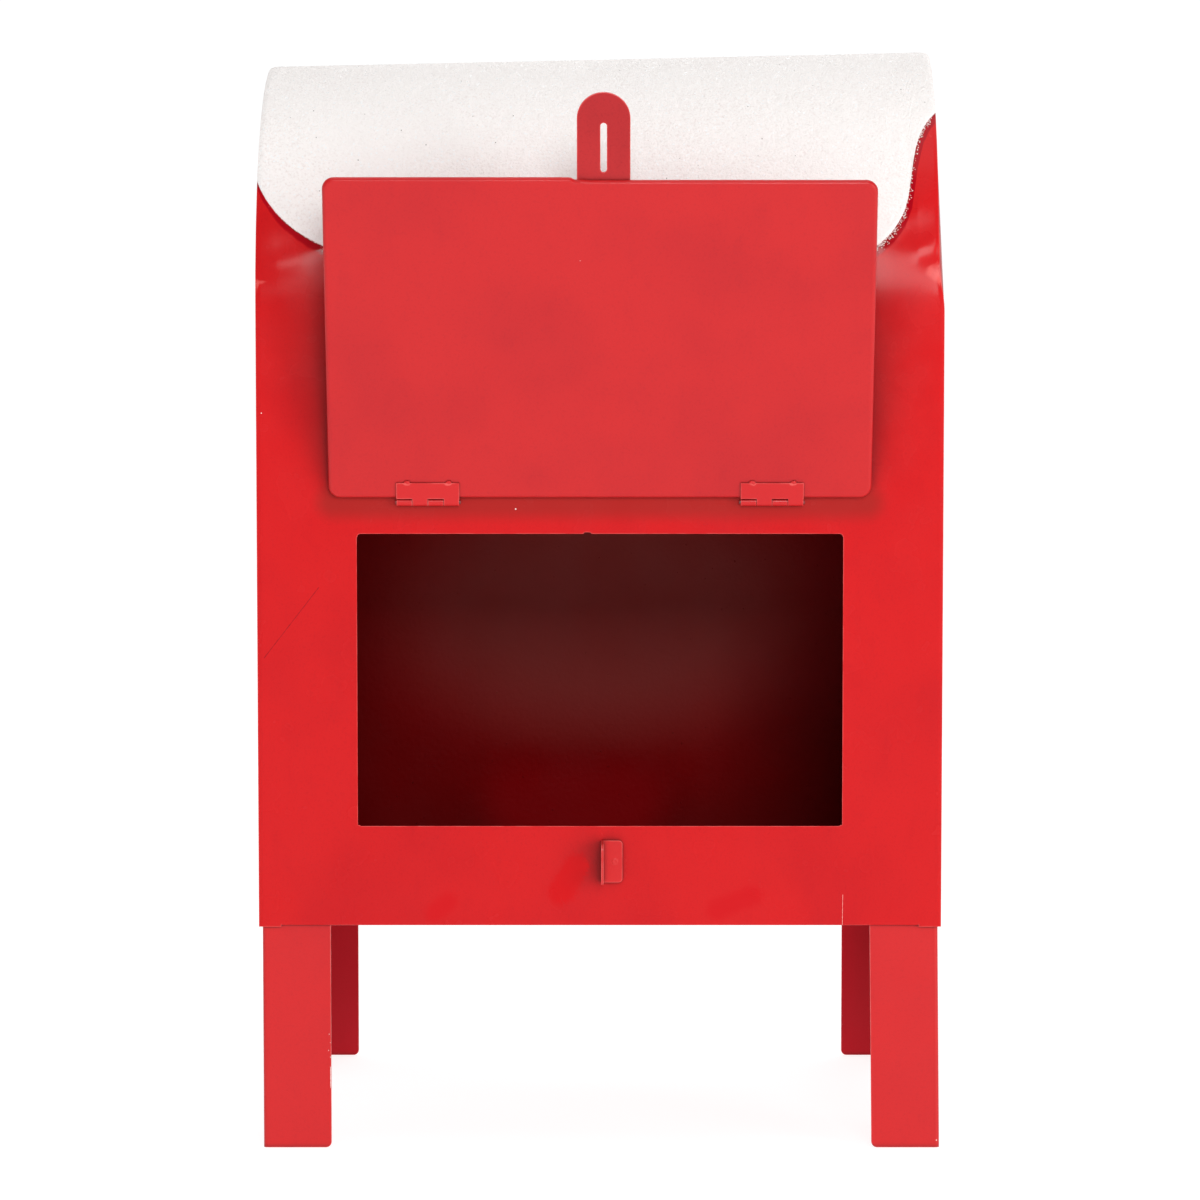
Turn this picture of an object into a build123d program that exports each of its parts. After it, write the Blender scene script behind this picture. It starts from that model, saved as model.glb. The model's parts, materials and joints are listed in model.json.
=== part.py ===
"""Free-standing sheet-metal letter box with a half-round roof, four angle legs, a top-hinged access door
at the back, a top-hinged letter flap at the front and a textured snow coat on the roof.

Millimetres, +Z up. The access door faces -Y and the letter flap +Y. The origin is on the ground, in the
middle of the space that the whole object fills with its access door standing open. Each sheet is its own
piece, spot welded to its neighbours, so neighbours lie a seam gap apart.
"""
from build123d import *
from math import cos, radians, sin, tan
import os

# Cabinet
CABINET_WIDTH = 350.0
CABINET_DEPTH = 270.0
WALL_HEIGHT = 315.0        # flat wall, from the cabinet's bottom edge up to where the roof starts
LEG_DROP = 115.0           # ground to the cabinet's bottom edge
SHEET = 0.8                # walls, doors and hinges
SEAM_GAP = 0.1             # between two sheets that are welded together
SIDE_FLANGE = 11.5         # width of the side panels' inward flange
SIDE_BEND = 1.2            # outside radius of that flange's bend
HEM_HEIGHT = 7.0           # the bottom edges are folded up inside by this much
FLOOR_FLANGE = 10.0
FLOOR_CORNER_GAP = 1.0     # the floor's flanges stop this far short of the legs

# Legs
LEG_FACE = 35.0            # width of each face of the angle
LEG_SHEET = 1.2
LEG_LAP = 14.0             # length of leg inside the cabinet, up to the floor
LEG_BEND = 2.0
LEG_TOE = 3.0              # rounding of the leg's lower free corners

# Access opening and its door
OPENING_WIDTH = 248.0
OPENING_HEIGHT = 150.0
OPENING_CORNER = 2.0
SILL_HEIGHT = 52.0         # cabinet's bottom edge to the opening
DOOR_PIN_RISE = 16.4       # opening's top edge to the hinge pin
DOOR_SIDE_LAP = 14.0
DOOR_SILL_LAP = 4.2
DOOR_CORNER = 6.0
DOOR_LEAN = 16.4           # degrees from upright at which the open door stands
DOOR_HINGE_X = 87.5

# Letter slot and its flap
SLOT_WIDTH = 248.0
SLOT_HEIGHT = 32.0
FLAP_PIN_DROP = 18.0       # from where the roof starts down to the flap's hinge pin
FLAP_PIN_RISE = 15.7       # slot's top edge to the flap's hinge pin
FLAP_SIDE_LAP = 14.0
FLAP_SILL_LAP = 6.0
FLAP_CORNER = 6.0
FLAP_HINGE_X = 87.5
PULL_WIDTH = 62.0          # finger pull on the flap
PULL_FOOT = 9.0
PULL_REACH = 11.0
PULL_RISE = 8.0            # flap's lower edge to the pull's lip
PULL_CORNER = 4.0

# Rim turned outwards round the door and round the flap
RIM_DEPTH = 2.6
RIM_BEND = 2.0
RIM_RUNNING_GAP = 0.3      # rim to the hinge knuckles

# Butt hinges
HINGE_LENGTH = 32.0
LEAF_LENGTH = 10.8         # pin to the leaf's far edge
HINGE_SEAT = 0.3           # wall to the hinge's leaves and knuckles
KNUCKLE_RADIUS = 2.0
KNUCKLES = 4
KNUCKLE_GAP = 0.3
LEAF_RELIEF = 0.4          # a leaf's edge to the other leaf's knuckles
PIN_RADIUS = 1.0
PIN_CLEARANCE = 0.05
PIN_OVERHANG = 0.8
PIN_END_ROUND = 0.4

# Latch: a slotted strap on the door drops over an ear under the opening
EAR_X = 1.2
STRAP_SHIFT = 0.6          # the strap sits this far off the ear's middle
STRAP_WIDTH = 26.5
STRAP_SHEET = 1.2
STRAP_REACH = 43.0         # beyond the door's lower edge
STRAP_LAP = 25.0           # length on the door
STRAP_STEP_ANGLE = 45.0    # slope at which the strap steps out over the rim
HASP_SLOT_START = 2.3      # door's lower edge to the strap's slot
HASP_SLOT_WIDTH = 3.2
HASP_SLOT_LENGTH = 25.2
EAR_SHEET = 1.2
EAR_REACH = 14.0
EAR_HEIGHT = 21.6
EAR_PLAY = 0.8             # upper end of the strap's slot to the ear
EAR_CORNER = 4.0
STAPLE_FOOT = 10.9
STAPLE_CORNER = 2.0
PADLOCK_HOLE_RADIUS = 3.0
PADLOCK_HOLE_REACH = 9.4   # wall to the hole's centre

# Snow coat. Its lower edge at the back and at the front runs through these points, from the left to the
# right as seen from that side: a share of half the cabinet's width, and a share of the roof's radius above
# where the roof starts.
SNOW_SHEET = 1.5
BACK_SNOW_EDGE = ((-1.0, 0.50), (-0.92, 0.345), (-0.79, 0.24), (-0.55, 0.21), (-0.30, 0.27), (-0.02, 0.20),
                  (0.28, 0.26), (0.56, 0.20), (0.81, 0.245), (0.90, 0.39), (0.925, 0.56), (1.0, 0.76))
FRONT_SNOW_EDGE = ((-1.0, 0.62), (-0.90, 0.40), (-0.72, 0.30), (-0.50, 0.42), (-0.28, 0.34), (-0.05, 0.24),
                   (0.20, 0.40), (0.44, 0.28), (0.68, 0.25), (0.86, 0.44), (1.0, 0.56))

# Places that follow from the sizes above. Heights are from the ground; the rest is from the cabinet's middle.
ROOF_RADIUS = CABINET_DEPTH / 2
SPRING_Z = LEG_DROP + WALL_HEIGHT
SILL_Z = LEG_DROP + SILL_HEIGHT
DOOR_PIN_Z = SILL_Z + OPENING_HEIGHT + DOOR_PIN_RISE
FLAP_PIN_Z = SPRING_Z - FLAP_PIN_DROP
SLOT_TOP_Z = FLAP_PIN_Z - FLAP_PIN_RISE
DOOR_WIDTH = OPENING_WIDTH + 2 * DOOR_SIDE_LAP
DOOR_LENGTH = DOOR_PIN_RISE + OPENING_HEIGHT + DOOR_SILL_LAP
FLAP_WIDTH = SLOT_WIDTH + 2 * FLAP_SIDE_LAP
FLAP_LENGTH = FLAP_PIN_RISE + SLOT_HEIGHT + FLAP_SILL_LAP
STRAP_X = EAR_X + STRAP_SHIFT
STRAP_END = DOOR_LENGTH + STRAP_REACH

# Layers of a hinged plate, outwards from its pin's axis when it is shut
PIN_STANDOFF = HINGE_SEAT + KNUCKLE_RADIUS
LEAF_IN = -KNUCKLE_RADIUS
PLATE_IN = LEAF_IN + SHEET + SEAM_GAP
PLATE_OUT = PLATE_IN + SHEET
RIM_OUT = PLATE_IN + RIM_DEPTH
TRAY_IN = PLATE_OUT + SEAM_GAP
STRAP_IN = RIM_OUT + SEAM_GAP
PLATE_TOP = KNUCKLE_RADIUS + RIM_RUNNING_GAP

# The open door's strap reaches out the furthest at the back, and the flap's pull at the front.
LEAN = radians(DOOR_LEAN)
BACK_REACH = ROOF_RADIUS + PIN_STANDOFF + STRAP_END * sin(LEAN) - STRAP_IN * cos(LEAN)
FRONT_REACH = ROOF_RADIUS + PIN_STANDOFF + TRAY_IN + PULL_REACH
CABINET_Y = (BACK_REACH - FRONT_REACH) / 2

BACK = -1
FRONT = 1
LEFT = -1
RIGHT = 1

os.makedirs("parts", exist_ok=True)


def save(piece, name):
    """Labels a finished piece and writes it."""
    piece.part.label = name
    export_step(piece.part, f"parts/{name}.step")


def across(x):
    """Plane square to X at x. Its own x runs along +Y from the cabinet's middle and its own y upwards."""
    return Plane(origin=(x, CABINET_Y, 0), x_dir=(0, 1, 0), z_dir=(1, 0, 0))


def level(z):
    """Level plane at height z, centred on the cabinet."""
    return Plane(origin=(0, CABINET_Y, z), x_dir=(1, 0, 0), z_dir=(0, 0, 1))


def wall(side):
    """Plane on the outside of the back or the front wall. Its own y runs upwards and its z outwards."""
    return Plane(origin=(0, CABINET_Y + side * ROOF_RADIUS, 0), x_dir=(-side, 0, 0), z_dir=(0, side, 0))


def pin_plane(side, pin_z, opened=0.0):
    """Plane through the hinge pins on one side of the cabinet, turned with a plate opened by some degrees.
    Its own z points out of the plate's outer face, and its own y from the plate's free edge to the pin."""
    turn = radians(opened)
    return Plane(origin=(0, CABINET_Y + side * (ROOF_RADIUS + PIN_STANDOFF), pin_z),
                 x_dir=(-side, 0, 0), z_dir=(0, side * cos(turn), sin(turn)))


def pin_section(plane, x):
    """Plane square to the pin at x along a pin plane. Its own x points outwards and its own y upwards."""
    return Plane(origin=plane.origin + plane.x_dir * x, x_dir=plane.z_dir, z_dir=-plane.x_dir)


def cabinet_outline(inset):
    """Draws the cabinet as seen from its side, drawn in by inset on the walls and the roof."""
    with Locations((0, LEG_DROP)):
        Rectangle(2 * (ROOF_RADIUS - inset), WALL_HEIGHT, align=(Align.CENTER, Align.MIN))
    with Locations((0, SPRING_Z)):
        Circle(ROOF_RADIUS - inset)


# Cabinet: the back wall, the roof and the front wall are one bent sheet.
HEM_SPAN = CABINET_WIDTH - 2 * (SIDE_FLANGE + SEAM_GAP)
HEM_CENTRE = ROOF_RADIUS - SHEET - SHEET / 2

with BuildPart() as wrap_shell:
    with BuildSketch(across(-CABINET_WIDTH / 2)):
        cabinet_outline(0)
    extrude(amount=CABINET_WIDTH)
    with BuildSketch(across(-CABINET_WIDTH / 2)):
        cabinet_outline(SHEET)
    extrude(amount=CABINET_WIDTH, mode=Mode.SUBTRACT)
    with BuildSketch(across(-HEM_SPAN / 2)):
        for side in (BACK, FRONT):
            with Locations((side * HEM_CENTRE, LEG_DROP)):
                Rectangle(SHEET, HEM_HEIGHT, align=(Align.CENTER, Align.MIN))
    extrude(amount=HEM_SPAN)
    with BuildSketch(wall(BACK)):
        with Locations((0, SILL_Z + OPENING_HEIGHT / 2)):
            RectangleRounded(OPENING_WIDTH, OPENING_HEIGHT, OPENING_CORNER)
    extrude(amount=-SHEET, mode=Mode.SUBTRACT)
    with BuildSketch(wall(FRONT)):
        with Locations((0, SLOT_TOP_Z - SLOT_HEIGHT / 2)):
            RectangleRounded(SLOT_WIDTH, SLOT_HEIGHT, OPENING_CORNER)
    extrude(amount=-SHEET, mode=Mode.SUBTRACT)
save(wrap_shell, "wrap_shell")


def side_panel(side):
    """End plate of the cabinet, whose flange lies inside the wrap shell. side is LEFT or RIGHT."""
    plate_inset = SHEET + SEAM_GAP
    flange_inset = plate_inset + SHEET
    outer_x = side * CABINET_WIDTH / 2
    with BuildPart() as panel:
        with BuildSketch(across(outer_x)):
            cabinet_outline(plate_inset)
        extrude(amount=-side * SIDE_FLANGE)
        outer_face = panel.faces().sort_by(Axis.X)[-1 if side == RIGHT else 0]
        bent_edges = outer_face.edges().filter_by(lambda edge: edge.center().Z > LEG_DROP + SHEET)
        fillet(bent_edges, SIDE_BEND)
        with BuildSketch(across(outer_x - side * SHEET)):
            cabinet_outline(flange_inset)
        extrude(amount=-side * SIDE_FLANGE, mode=Mode.SUBTRACT)
        with BuildSketch(across(outer_x - side * SHEET)):
            with Locations((0, LEG_DROP)):
                Rectangle(2 * (ROOF_RADIUS - flange_inset), HEM_HEIGHT, align=(Align.CENTER, Align.MIN))
        extrude(amount=-side * SHEET)
    return panel


save(side_panel(LEFT), "side_panel_left")
save(side_panel(RIGHT), "side_panel_right")

# Legs: angles that stand in the cabinet's corners, inside the hems and the side flanges.
LEG_X = CABINET_WIDTH / 2 - 2 * SHEET - SEAM_GAP
LEG_Y = ROOF_RADIUS - 2 * SHEET - 2 * SEAM_GAP
LEG_LENGTH = LEG_DROP + LEG_LAP


def leg(x_side, y_side):
    """Angle leg whose two faces look out to x_side and y_side."""
    hollow = LEG_FACE - LEG_SHEET
    hollow_shift = hollow / 2 - LEG_FACE
    with BuildPart() as angle:
        with BuildSketch(level(0)):
            with Locations((x_side * (LEG_X - LEG_FACE / 2), y_side * (LEG_Y - LEG_FACE / 2))):
                Rectangle(LEG_FACE, LEG_FACE)
        extrude(amount=LEG_LENGTH)
        uprights = angle.edges().filter_by(Axis.Z)
        fillet(uprights.sort_by(Axis((0, 0, 0), (x_side, y_side, 0)))[-1], LEG_BEND)
        with BuildSketch(level(0)):
            with Locations((x_side * (LEG_X + hollow_shift), y_side * (LEG_Y + hollow_shift))):
                Rectangle(hollow, hollow)
        extrude(amount=LEG_LENGTH, mode=Mode.SUBTRACT)
        sole_edges = angle.faces().sort_by(Axis.Z)[0].edges()
        toes = sole_edges.filter_by(lambda edge: abs(edge.length - LEG_SHEET) < SEAM_GAP)
        fillet(toes, LEG_TOE)
    return angle


for y_side, row in ((BACK, "rear"), (FRONT, "front")):
    for x_side, column in ((LEFT, "left"), (RIGHT, "right")):
        save(leg(x_side, y_side), f"leg_{row}_{column}")

# Floor pan: lies on the legs, with flanges turned down between them.
FLOOR_Z = LEG_LENGTH + SEAM_GAP
FLOOR_X = LEG_X - SEAM_GAP
FLANGE_HALF_X = LEG_X - LEG_FACE - FLOOR_CORNER_GAP
FLANGE_HALF_Y = LEG_Y - LEG_FACE - FLOOR_CORNER_GAP

with BuildPart() as floor_pan:
    with BuildSketch(level(FLOOR_Z)):
        Rectangle(2 * FLOOR_X, 2 * LEG_Y)
    extrude(amount=SHEET)
    with BuildSketch(level(FLOOR_Z)):
        with GridLocations(0, 2 * LEG_Y - SHEET, 1, 2):
            Rectangle(2 * FLANGE_HALF_X, SHEET)
        with GridLocations(2 * FLOOR_X - SHEET, 0, 2, 1):
            Rectangle(SHEET, 2 * FLANGE_HALF_Y)
    extrude(amount=-FLOOR_FLANGE)
save(floor_pan, "floor_pan")


def below_edge(points):
    """Draws all that lies below a wavy edge through points, across the cabinet."""
    half_width = CABINET_WIDTH / 2
    edge_points = [(share_x * half_width, SPRING_Z + share_z * ROOF_RADIUS) for share_x, share_z in points]
    with BuildLine() as outline:
        edge = Spline(*edge_points)
        Polyline(edge @ 1, (half_width, 0), (-half_width, 0), edge @ 0)
    make_face(outline.edges())


# Snow coat: a skin on the roof, with a wavy lower edge on each side.
SNOW_INNER = ROOF_RADIUS + SEAM_GAP
SNOW_OUTER = SNOW_INNER + SNOW_SHEET

with BuildPart() as snow_coat:
    with BuildSketch(across(-CABINET_WIDTH / 2)):
        with Locations((0, SPRING_Z)):
            Circle(SNOW_OUTER)
            Circle(SNOW_INNER, mode=Mode.SUBTRACT)
            Rectangle(2 * SNOW_OUTER, SNOW_OUTER, align=(Align.CENTER, Align.MAX), mode=Mode.SUBTRACT)
    extrude(amount=CABINET_WIDTH)
    for side, points in ((BACK, BACK_SNOW_EDGE), (FRONT, FRONT_SNOW_EDGE)):
        with BuildSketch(wall(side).offset(2 * SNOW_SHEET)):
            below_edge(points)
        extrude(amount=-ROOF_RADIUS, mode=Mode.SUBTRACT)
save(snow_coat, "snow_coat")


# Hinges. Seen along the pin, a leaf is tangent to the knuckles on the wall's side.
KNUCKLE_PITCH = HINGE_LENGTH / KNUCKLES
LEAF_CENTRE = LEAF_IN + SHEET / 2
LEAF_EDGE = KNUCKLE_RADIUS + LEAF_RELIEF


def hinge_leaf(plane, x, points_up, first_knuckle):
    """One leaf at x along a pin plane, with every second knuckle. The wall's leaf points up from the pin,
    and a hung plate's leaf points down."""
    turn = 1 if points_up else -1
    from_pin = (Align.CENTER, Align.MIN if points_up else Align.MAX)
    start = x + HINGE_LENGTH / 2
    with BuildPart() as leaf:
        with BuildSketch(pin_section(plane, start)):
            with Locations((LEAF_CENTRE, turn * LEAF_EDGE)):
                Rectangle(SHEET, LEAF_LENGTH - LEAF_EDGE, align=from_pin)
        extrude(amount=HINGE_LENGTH)
        for number in range(first_knuckle, KNUCKLES, 2):
            with BuildSketch(pin_section(plane, start - number * KNUCKLE_PITCH - KNUCKLE_GAP / 2)):
                Circle(KNUCKLE_RADIUS)
                with Locations((LEAF_CENTRE, 0)):
                    Rectangle(SHEET, LEAF_EDGE + SHEET, align=from_pin)
                Circle(PIN_RADIUS + PIN_CLEARANCE, mode=Mode.SUBTRACT)
            extrude(amount=KNUCKLE_PITCH - KNUCKLE_GAP)
    return leaf


def hinge_pin(plane, x):
    """Pin through all the knuckles at x along a pin plane, with rounded ends."""
    with BuildPart() as pin:
        with BuildSketch(pin_section(plane, x + HINGE_LENGTH / 2 + PIN_OVERHANG)):
            Circle(PIN_RADIUS)
        extrude(amount=HINGE_LENGTH + 2 * PIN_OVERHANG)
        fillet(pin.edges().filter_by(GeomType.CIRCLE), PIN_END_ROUND)
    return pin


def save_hinges(name, side, pin_z, hinge_x, opened):
    """Writes the two hinges that carry one plate: the leaves and pins on the wall, and the plate's leaves."""
    fixed_plane = pin_plane(side, pin_z)
    swung_plane = pin_plane(side, pin_z, opened)
    for end, column in ((LEFT, "left"), (RIGHT, "right")):
        x = -side * end * hinge_x
        save(hinge_leaf(fixed_plane, x, True, 1), f"{name}_hinge_wall_leaf_{column}")
        save(hinge_pin(fixed_plane, x), f"{name}_hinge_pin_{column}")
        save(hinge_leaf(swung_plane, x, False, 0), f"{name}_hinge_leaf_{column}")


save_hinges("door", BACK, DOOR_PIN_Z, DOOR_HINGE_X, 180 - DOOR_LEAN)
save_hinges("flap", FRONT, FLAP_PIN_Z, FLAP_HINGE_X, 0)


def hung_plate(plane, width, length, corner):
    """Sheet with a rim turned outwards all round, hung below a pin plane."""
    outwards = Axis(plane.origin, plane.z_dir)
    with BuildPart() as plate:
        with BuildSketch(plane.offset(PLATE_IN)):
            with Locations((0, -(PLATE_TOP + length) / 2)):
                RectangleRounded(width, length - PLATE_TOP, corner)
        extrude(amount=RIM_DEPTH)
        fillet(plate.faces().sort_by(outwards)[0].edges(), RIM_BEND)
        offset(amount=-SHEET, openings=plate.faces().sort_by(outwards)[-1])
    return plate


door_plane = pin_plane(BACK, DOOR_PIN_Z, 180 - DOOR_LEAN)
flap_plane = pin_plane(FRONT, FLAP_PIN_Z)
save(hung_plate(door_plane, DOOR_WIDTH, DOOR_LENGTH, DOOR_CORNER), "access_door_panel")
save(hung_plate(flap_plane, FLAP_WIDTH, FLAP_LENGTH, FLAP_CORNER), "letter_flap_panel")

# Latch strap: lies in the door's tray, steps out over its rim, and ends in a slotted tongue.
STEP_END = DOOR_LENGTH - RIM_BEND - SEAM_GAP
STEP_START = STEP_END - (STRAP_IN - TRAY_IN) / tan(radians(STRAP_STEP_ANGLE))
STEP_SHIFT = STRAP_SHEET * tan(radians(STRAP_STEP_ANGLE / 2))
LAP_START = DOOR_LENGTH - STRAP_LAP
TRAY_SIDE = ((TRAY_IN, -LAP_START), (TRAY_IN, -STEP_START), (STRAP_IN, -STEP_END), (STRAP_IN, -STRAP_END))
FREE_SIDE = ((STRAP_IN + STRAP_SHEET, -STRAP_END), (STRAP_IN + STRAP_SHEET, STEP_SHIFT - STEP_END),
             (TRAY_IN + STRAP_SHEET, STEP_SHIFT - STEP_START), (TRAY_IN + STRAP_SHEET, -LAP_START))

with BuildPart() as hasp_strap:
    with BuildSketch(pin_section(door_plane, STRAP_X + STRAP_WIDTH / 2)):
        with BuildLine():
            Polyline(*TRAY_SIDE, *FREE_SIDE, close=True)
        make_face()
    extrude(amount=STRAP_WIDTH)
    with BuildSketch(door_plane.offset(TRAY_IN)):
        with Locations((STRAP_X, STRAP_WIDTH / 2 - STRAP_END)):
            Circle(STRAP_WIDTH / 2)
            Rectangle(STRAP_WIDTH, STRAP_END, align=(Align.CENTER, Align.MIN))
        with Locations((STRAP_X, -DOOR_LENGTH - HASP_SLOT_START - HASP_SLOT_LENGTH / 2)):
            SlotOverall(HASP_SLOT_LENGTH, HASP_SLOT_WIDTH, rotation=90, mode=Mode.SUBTRACT)
    extrude(amount=STRAP_IN + STRAP_SHEET - TRAY_IN, mode=Mode.INTERSECT)
save(hasp_strap, "hasp_strap")

# Padlock staple: an angle whose foot is welded under the opening and whose ear stands out through the strap.
EAR_TOP_Z = DOOR_PIN_Z - DOOR_LENGTH - HASP_SLOT_START - EAR_PLAY
EAR_LEFT_X = EAR_X - EAR_SHEET / 2

with BuildPart() as padlock_staple:
    with BuildSketch(level(EAR_TOP_Z)):
        with Locations((EAR_LEFT_X, -ROOF_RADIUS - SEAM_GAP)):
            Rectangle(STAPLE_FOOT, EAR_SHEET, align=(Align.MIN, Align.MAX))
            Rectangle(EAR_SHEET, EAR_REACH, align=(Align.MIN, Align.MAX))
    extrude(amount=-EAR_HEIGHT)
    heel = padlock_staple.edges().filter_by(Axis.Z).sort_by(Axis((0, 0, 0), (-1, 1, 0)))[-1]
    fillet(heel, EAR_SHEET / 2)
    tip_face = padlock_staple.faces().sort_by(Axis.Y)[0]
    fillet(tip_face.edges().filter_by(Axis.X), EAR_CORNER)
    foot_end = padlock_staple.faces().sort_by(Axis.X)[-1]
    fillet(foot_end.edges().filter_by(Axis.Y), STAPLE_CORNER)
    with BuildSketch(across(EAR_LEFT_X)):
        with Locations((-ROOF_RADIUS - PADLOCK_HOLE_REACH, EAR_TOP_Z - EAR_HEIGHT / 2)):
            Circle(PADLOCK_HOLE_RADIUS)
    extrude(amount=EAR_SHEET, mode=Mode.SUBTRACT)
save(padlock_staple, "padlock_staple")

# Finger pull: an angle welded into the flap's tray, with its lip standing out.
with BuildPart() as flap_pull:
    with BuildSketch(pin_section(flap_plane, PULL_WIDTH / 2)):
        with Locations((TRAY_IN, PULL_RISE - FLAP_LENGTH)):
            Rectangle(SHEET, PULL_FOOT, align=(Align.MIN, Align.MIN))
            Rectangle(PULL_REACH, SHEET, align=(Align.MIN, Align.MIN))
    extrude(amount=PULL_WIDTH)
    heel = flap_pull.edges().filter_by(Axis.X).sort_by(Axis((0, 0, 0), (0, -1, -1)))[-1]
    fillet(heel, SHEET / 2)
    lip_end = flap_pull.faces().sort_by(Axis.Y)[-1]
    fillet(lip_end.edges().filter_by(Axis.Z), PULL_CORNER)
save(flap_pull, "flap_pull")
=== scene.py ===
"""Dresses the standing letter box: dented sheet, rolled doors, snow crust, weld tacks and enamel.

Everything is in metres in the model's own frame: +Z up, the access door on the -Y side, the letter flap on
the +Y side, and the ground at z = 0.
"""

import json
import logging
import math
import random
from contextlib import contextmanager
from dataclasses import dataclass
from enum import Enum
from typing import Any, Callable, Iterable, Iterator, Sequence

import bpy
from mathutils import Matrix, Vector, noise


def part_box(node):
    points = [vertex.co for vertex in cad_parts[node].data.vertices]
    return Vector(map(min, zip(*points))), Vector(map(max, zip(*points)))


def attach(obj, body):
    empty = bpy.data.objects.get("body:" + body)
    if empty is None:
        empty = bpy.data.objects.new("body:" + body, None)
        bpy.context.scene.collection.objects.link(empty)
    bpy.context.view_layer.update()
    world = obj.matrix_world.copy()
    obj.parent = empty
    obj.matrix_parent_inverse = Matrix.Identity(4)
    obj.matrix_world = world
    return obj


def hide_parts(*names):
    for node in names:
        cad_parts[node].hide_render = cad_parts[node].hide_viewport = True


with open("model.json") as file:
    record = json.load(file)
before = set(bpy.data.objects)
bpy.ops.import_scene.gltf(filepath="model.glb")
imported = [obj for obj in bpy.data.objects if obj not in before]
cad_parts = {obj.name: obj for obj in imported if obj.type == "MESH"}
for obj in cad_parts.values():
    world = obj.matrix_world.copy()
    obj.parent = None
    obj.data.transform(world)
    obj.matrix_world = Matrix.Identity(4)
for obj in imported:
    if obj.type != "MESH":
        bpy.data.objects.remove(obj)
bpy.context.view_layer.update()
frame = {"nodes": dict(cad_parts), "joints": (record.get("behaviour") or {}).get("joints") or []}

log = logging.getLogger("letter_box")
MM = 0.001

CABINET = "cabinet"
ACCESS_DOOR = "access_door"
LETTER_FLAP = "letter_flap"
SMOOTH_ANGLE = math.radians(35)
BEVEL_ANGLE = math.radians(60)
SNOW_GAP = "snow_gap"
SHADE_SAMPLES = 8
SAME_LEVEL = 0.01 * MM
SAME_PLACE = 0.001 * MM

Shape = Callable[[Vector], Vector]
Test = Callable[[Vector], bool]


class Side(Enum):
    """Which wall of the cabinet, as the sign of its outward direction along Y."""

    BACK = -1
    FRONT = 1


class Part(Enum):
    """What edit mode selects."""

    EDGE = (False, True, False)
    FACE = (False, False, True)


# ---------------------------------------------------------------------------------------------------------
# Modelling by hand, in code
# ---------------------------------------------------------------------------------------------------------


def deselect_everything() -> None:
    """Leaves edit mode, if it is on, and deselects every object."""
    if bpy.context.object is not None and bpy.context.object.mode != "OBJECT":
        bpy.ops.object.mode_set(mode="OBJECT")
    for thing in bpy.context.selected_objects:
        thing.select_set(False)


def take(piece: bpy.types.Object) -> None:
    """Makes a piece the only selected and active object."""
    deselect_everything()
    piece.select_set(True)
    bpy.context.view_layer.objects.active = piece


@contextmanager
def editing(piece: bpy.types.Object, part: Part = Part.FACE) -> Iterator[None]:
    """Edit mode on one piece, with what was selected by place still selected."""
    take(piece)
    bpy.context.tool_settings.mesh_select_mode = part.value
    bpy.ops.object.mode_set(mode="EDIT")
    yield
    bpy.ops.object.mode_set(mode="OBJECT")


def select(piece: bpy.types.Object, part: Part, test: Test) -> None:
    """Selects just the edges or faces whose middle passes a test.

    Args:
        piece: the mesh object.
        part: what to select.
        test: takes the middle of an edge or face.
    """
    mesh = piece.data
    for group in (mesh.vertices, mesh.edges, mesh.polygons):
        group.foreach_set("select", [False] * len(group))
    if part is Part.EDGE:
        for edge in mesh.edges:
            start, end = (mesh.vertices[number].co for number in edge.vertices)
            edge.select = test((start + end) / 2)
    else:
        for face in mesh.polygons:
            face.select = test(face.center)


def select_border(piece: bpy.types.Object, test: Test) -> None:
    """Selects the open edges whose middle passes a test."""
    mesh = piece.data
    used: dict[tuple[int, int], int] = {}
    for face in mesh.polygons:
        for key in face.edge_keys:
            used[key] = used.get(key, 0) + 1
    select(piece, Part.EDGE, test)
    for edge in mesh.edges:
        edge.select = edge.select and used.get(edge.key, 0) == 1


def extrude_border(piece: bpy.types.Object, step: Vector) -> None:
    """Extrudes the selected edges by a step, and leaves the new ones selected."""
    with editing(piece, Part.EDGE):
        bpy.ops.mesh.extrude_region_move(TRANSFORM_OT_translate={"value": step})


def cut(piece: bpy.types.Object, point: Sequence[float], normal: Sequence[float]) -> None:
    """Cuts all of a mesh along a plane, and keeps both sides."""
    with editing(piece):
        bpy.ops.mesh.select_all(action="SELECT")
        bpy.ops.mesh.bisect(plane_co=point, plane_no=normal, use_fill=False)


def delete_faces(piece: bpy.types.Object, test: Test) -> None:
    """Deletes the faces whose middle passes a test."""
    select(piece, Part.FACE, test)
    with editing(piece):
        bpy.ops.mesh.delete(type="FACE")


def move_points(piece: bpy.types.Object, shape: Shape, chosen: Test = lambda point: True) -> None:
    """Moves each vertex that passes a test to where a function says."""
    for vertex in piece.data.vertices:
        if chosen(vertex.co):
            vertex.co = shape(vertex.co)


def modify(piece: bpy.types.Object, kind: str, **settings: Any) -> None:
    """Adds a modifier with these settings and applies it."""
    take(piece)
    modifier = piece.modifiers.new(kind.title(), kind)
    for name, value in settings.items():
        setattr(modifier, name, value)
    bpy.ops.object.modifier_apply(modifier=modifier.name)


def smooth(piece: bpy.types.Object) -> None:
    """Shades a piece smooth, except over sharp corners."""
    take(piece)
    bpy.ops.object.shade_smooth_by_angle(angle=SMOOTH_ANGLE)


def new_grid(name: str, columns: int, rows: int) -> bpy.types.Object:
    """Flat grid from -0.5 to 0.5 both ways."""
    deselect_everything()
    bpy.ops.mesh.primitive_grid_add(x_subdivisions=columns, y_subdivisions=rows, size=1.0)
    piece = bpy.context.object
    piece.name = piece.data.name = name
    return piece


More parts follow.
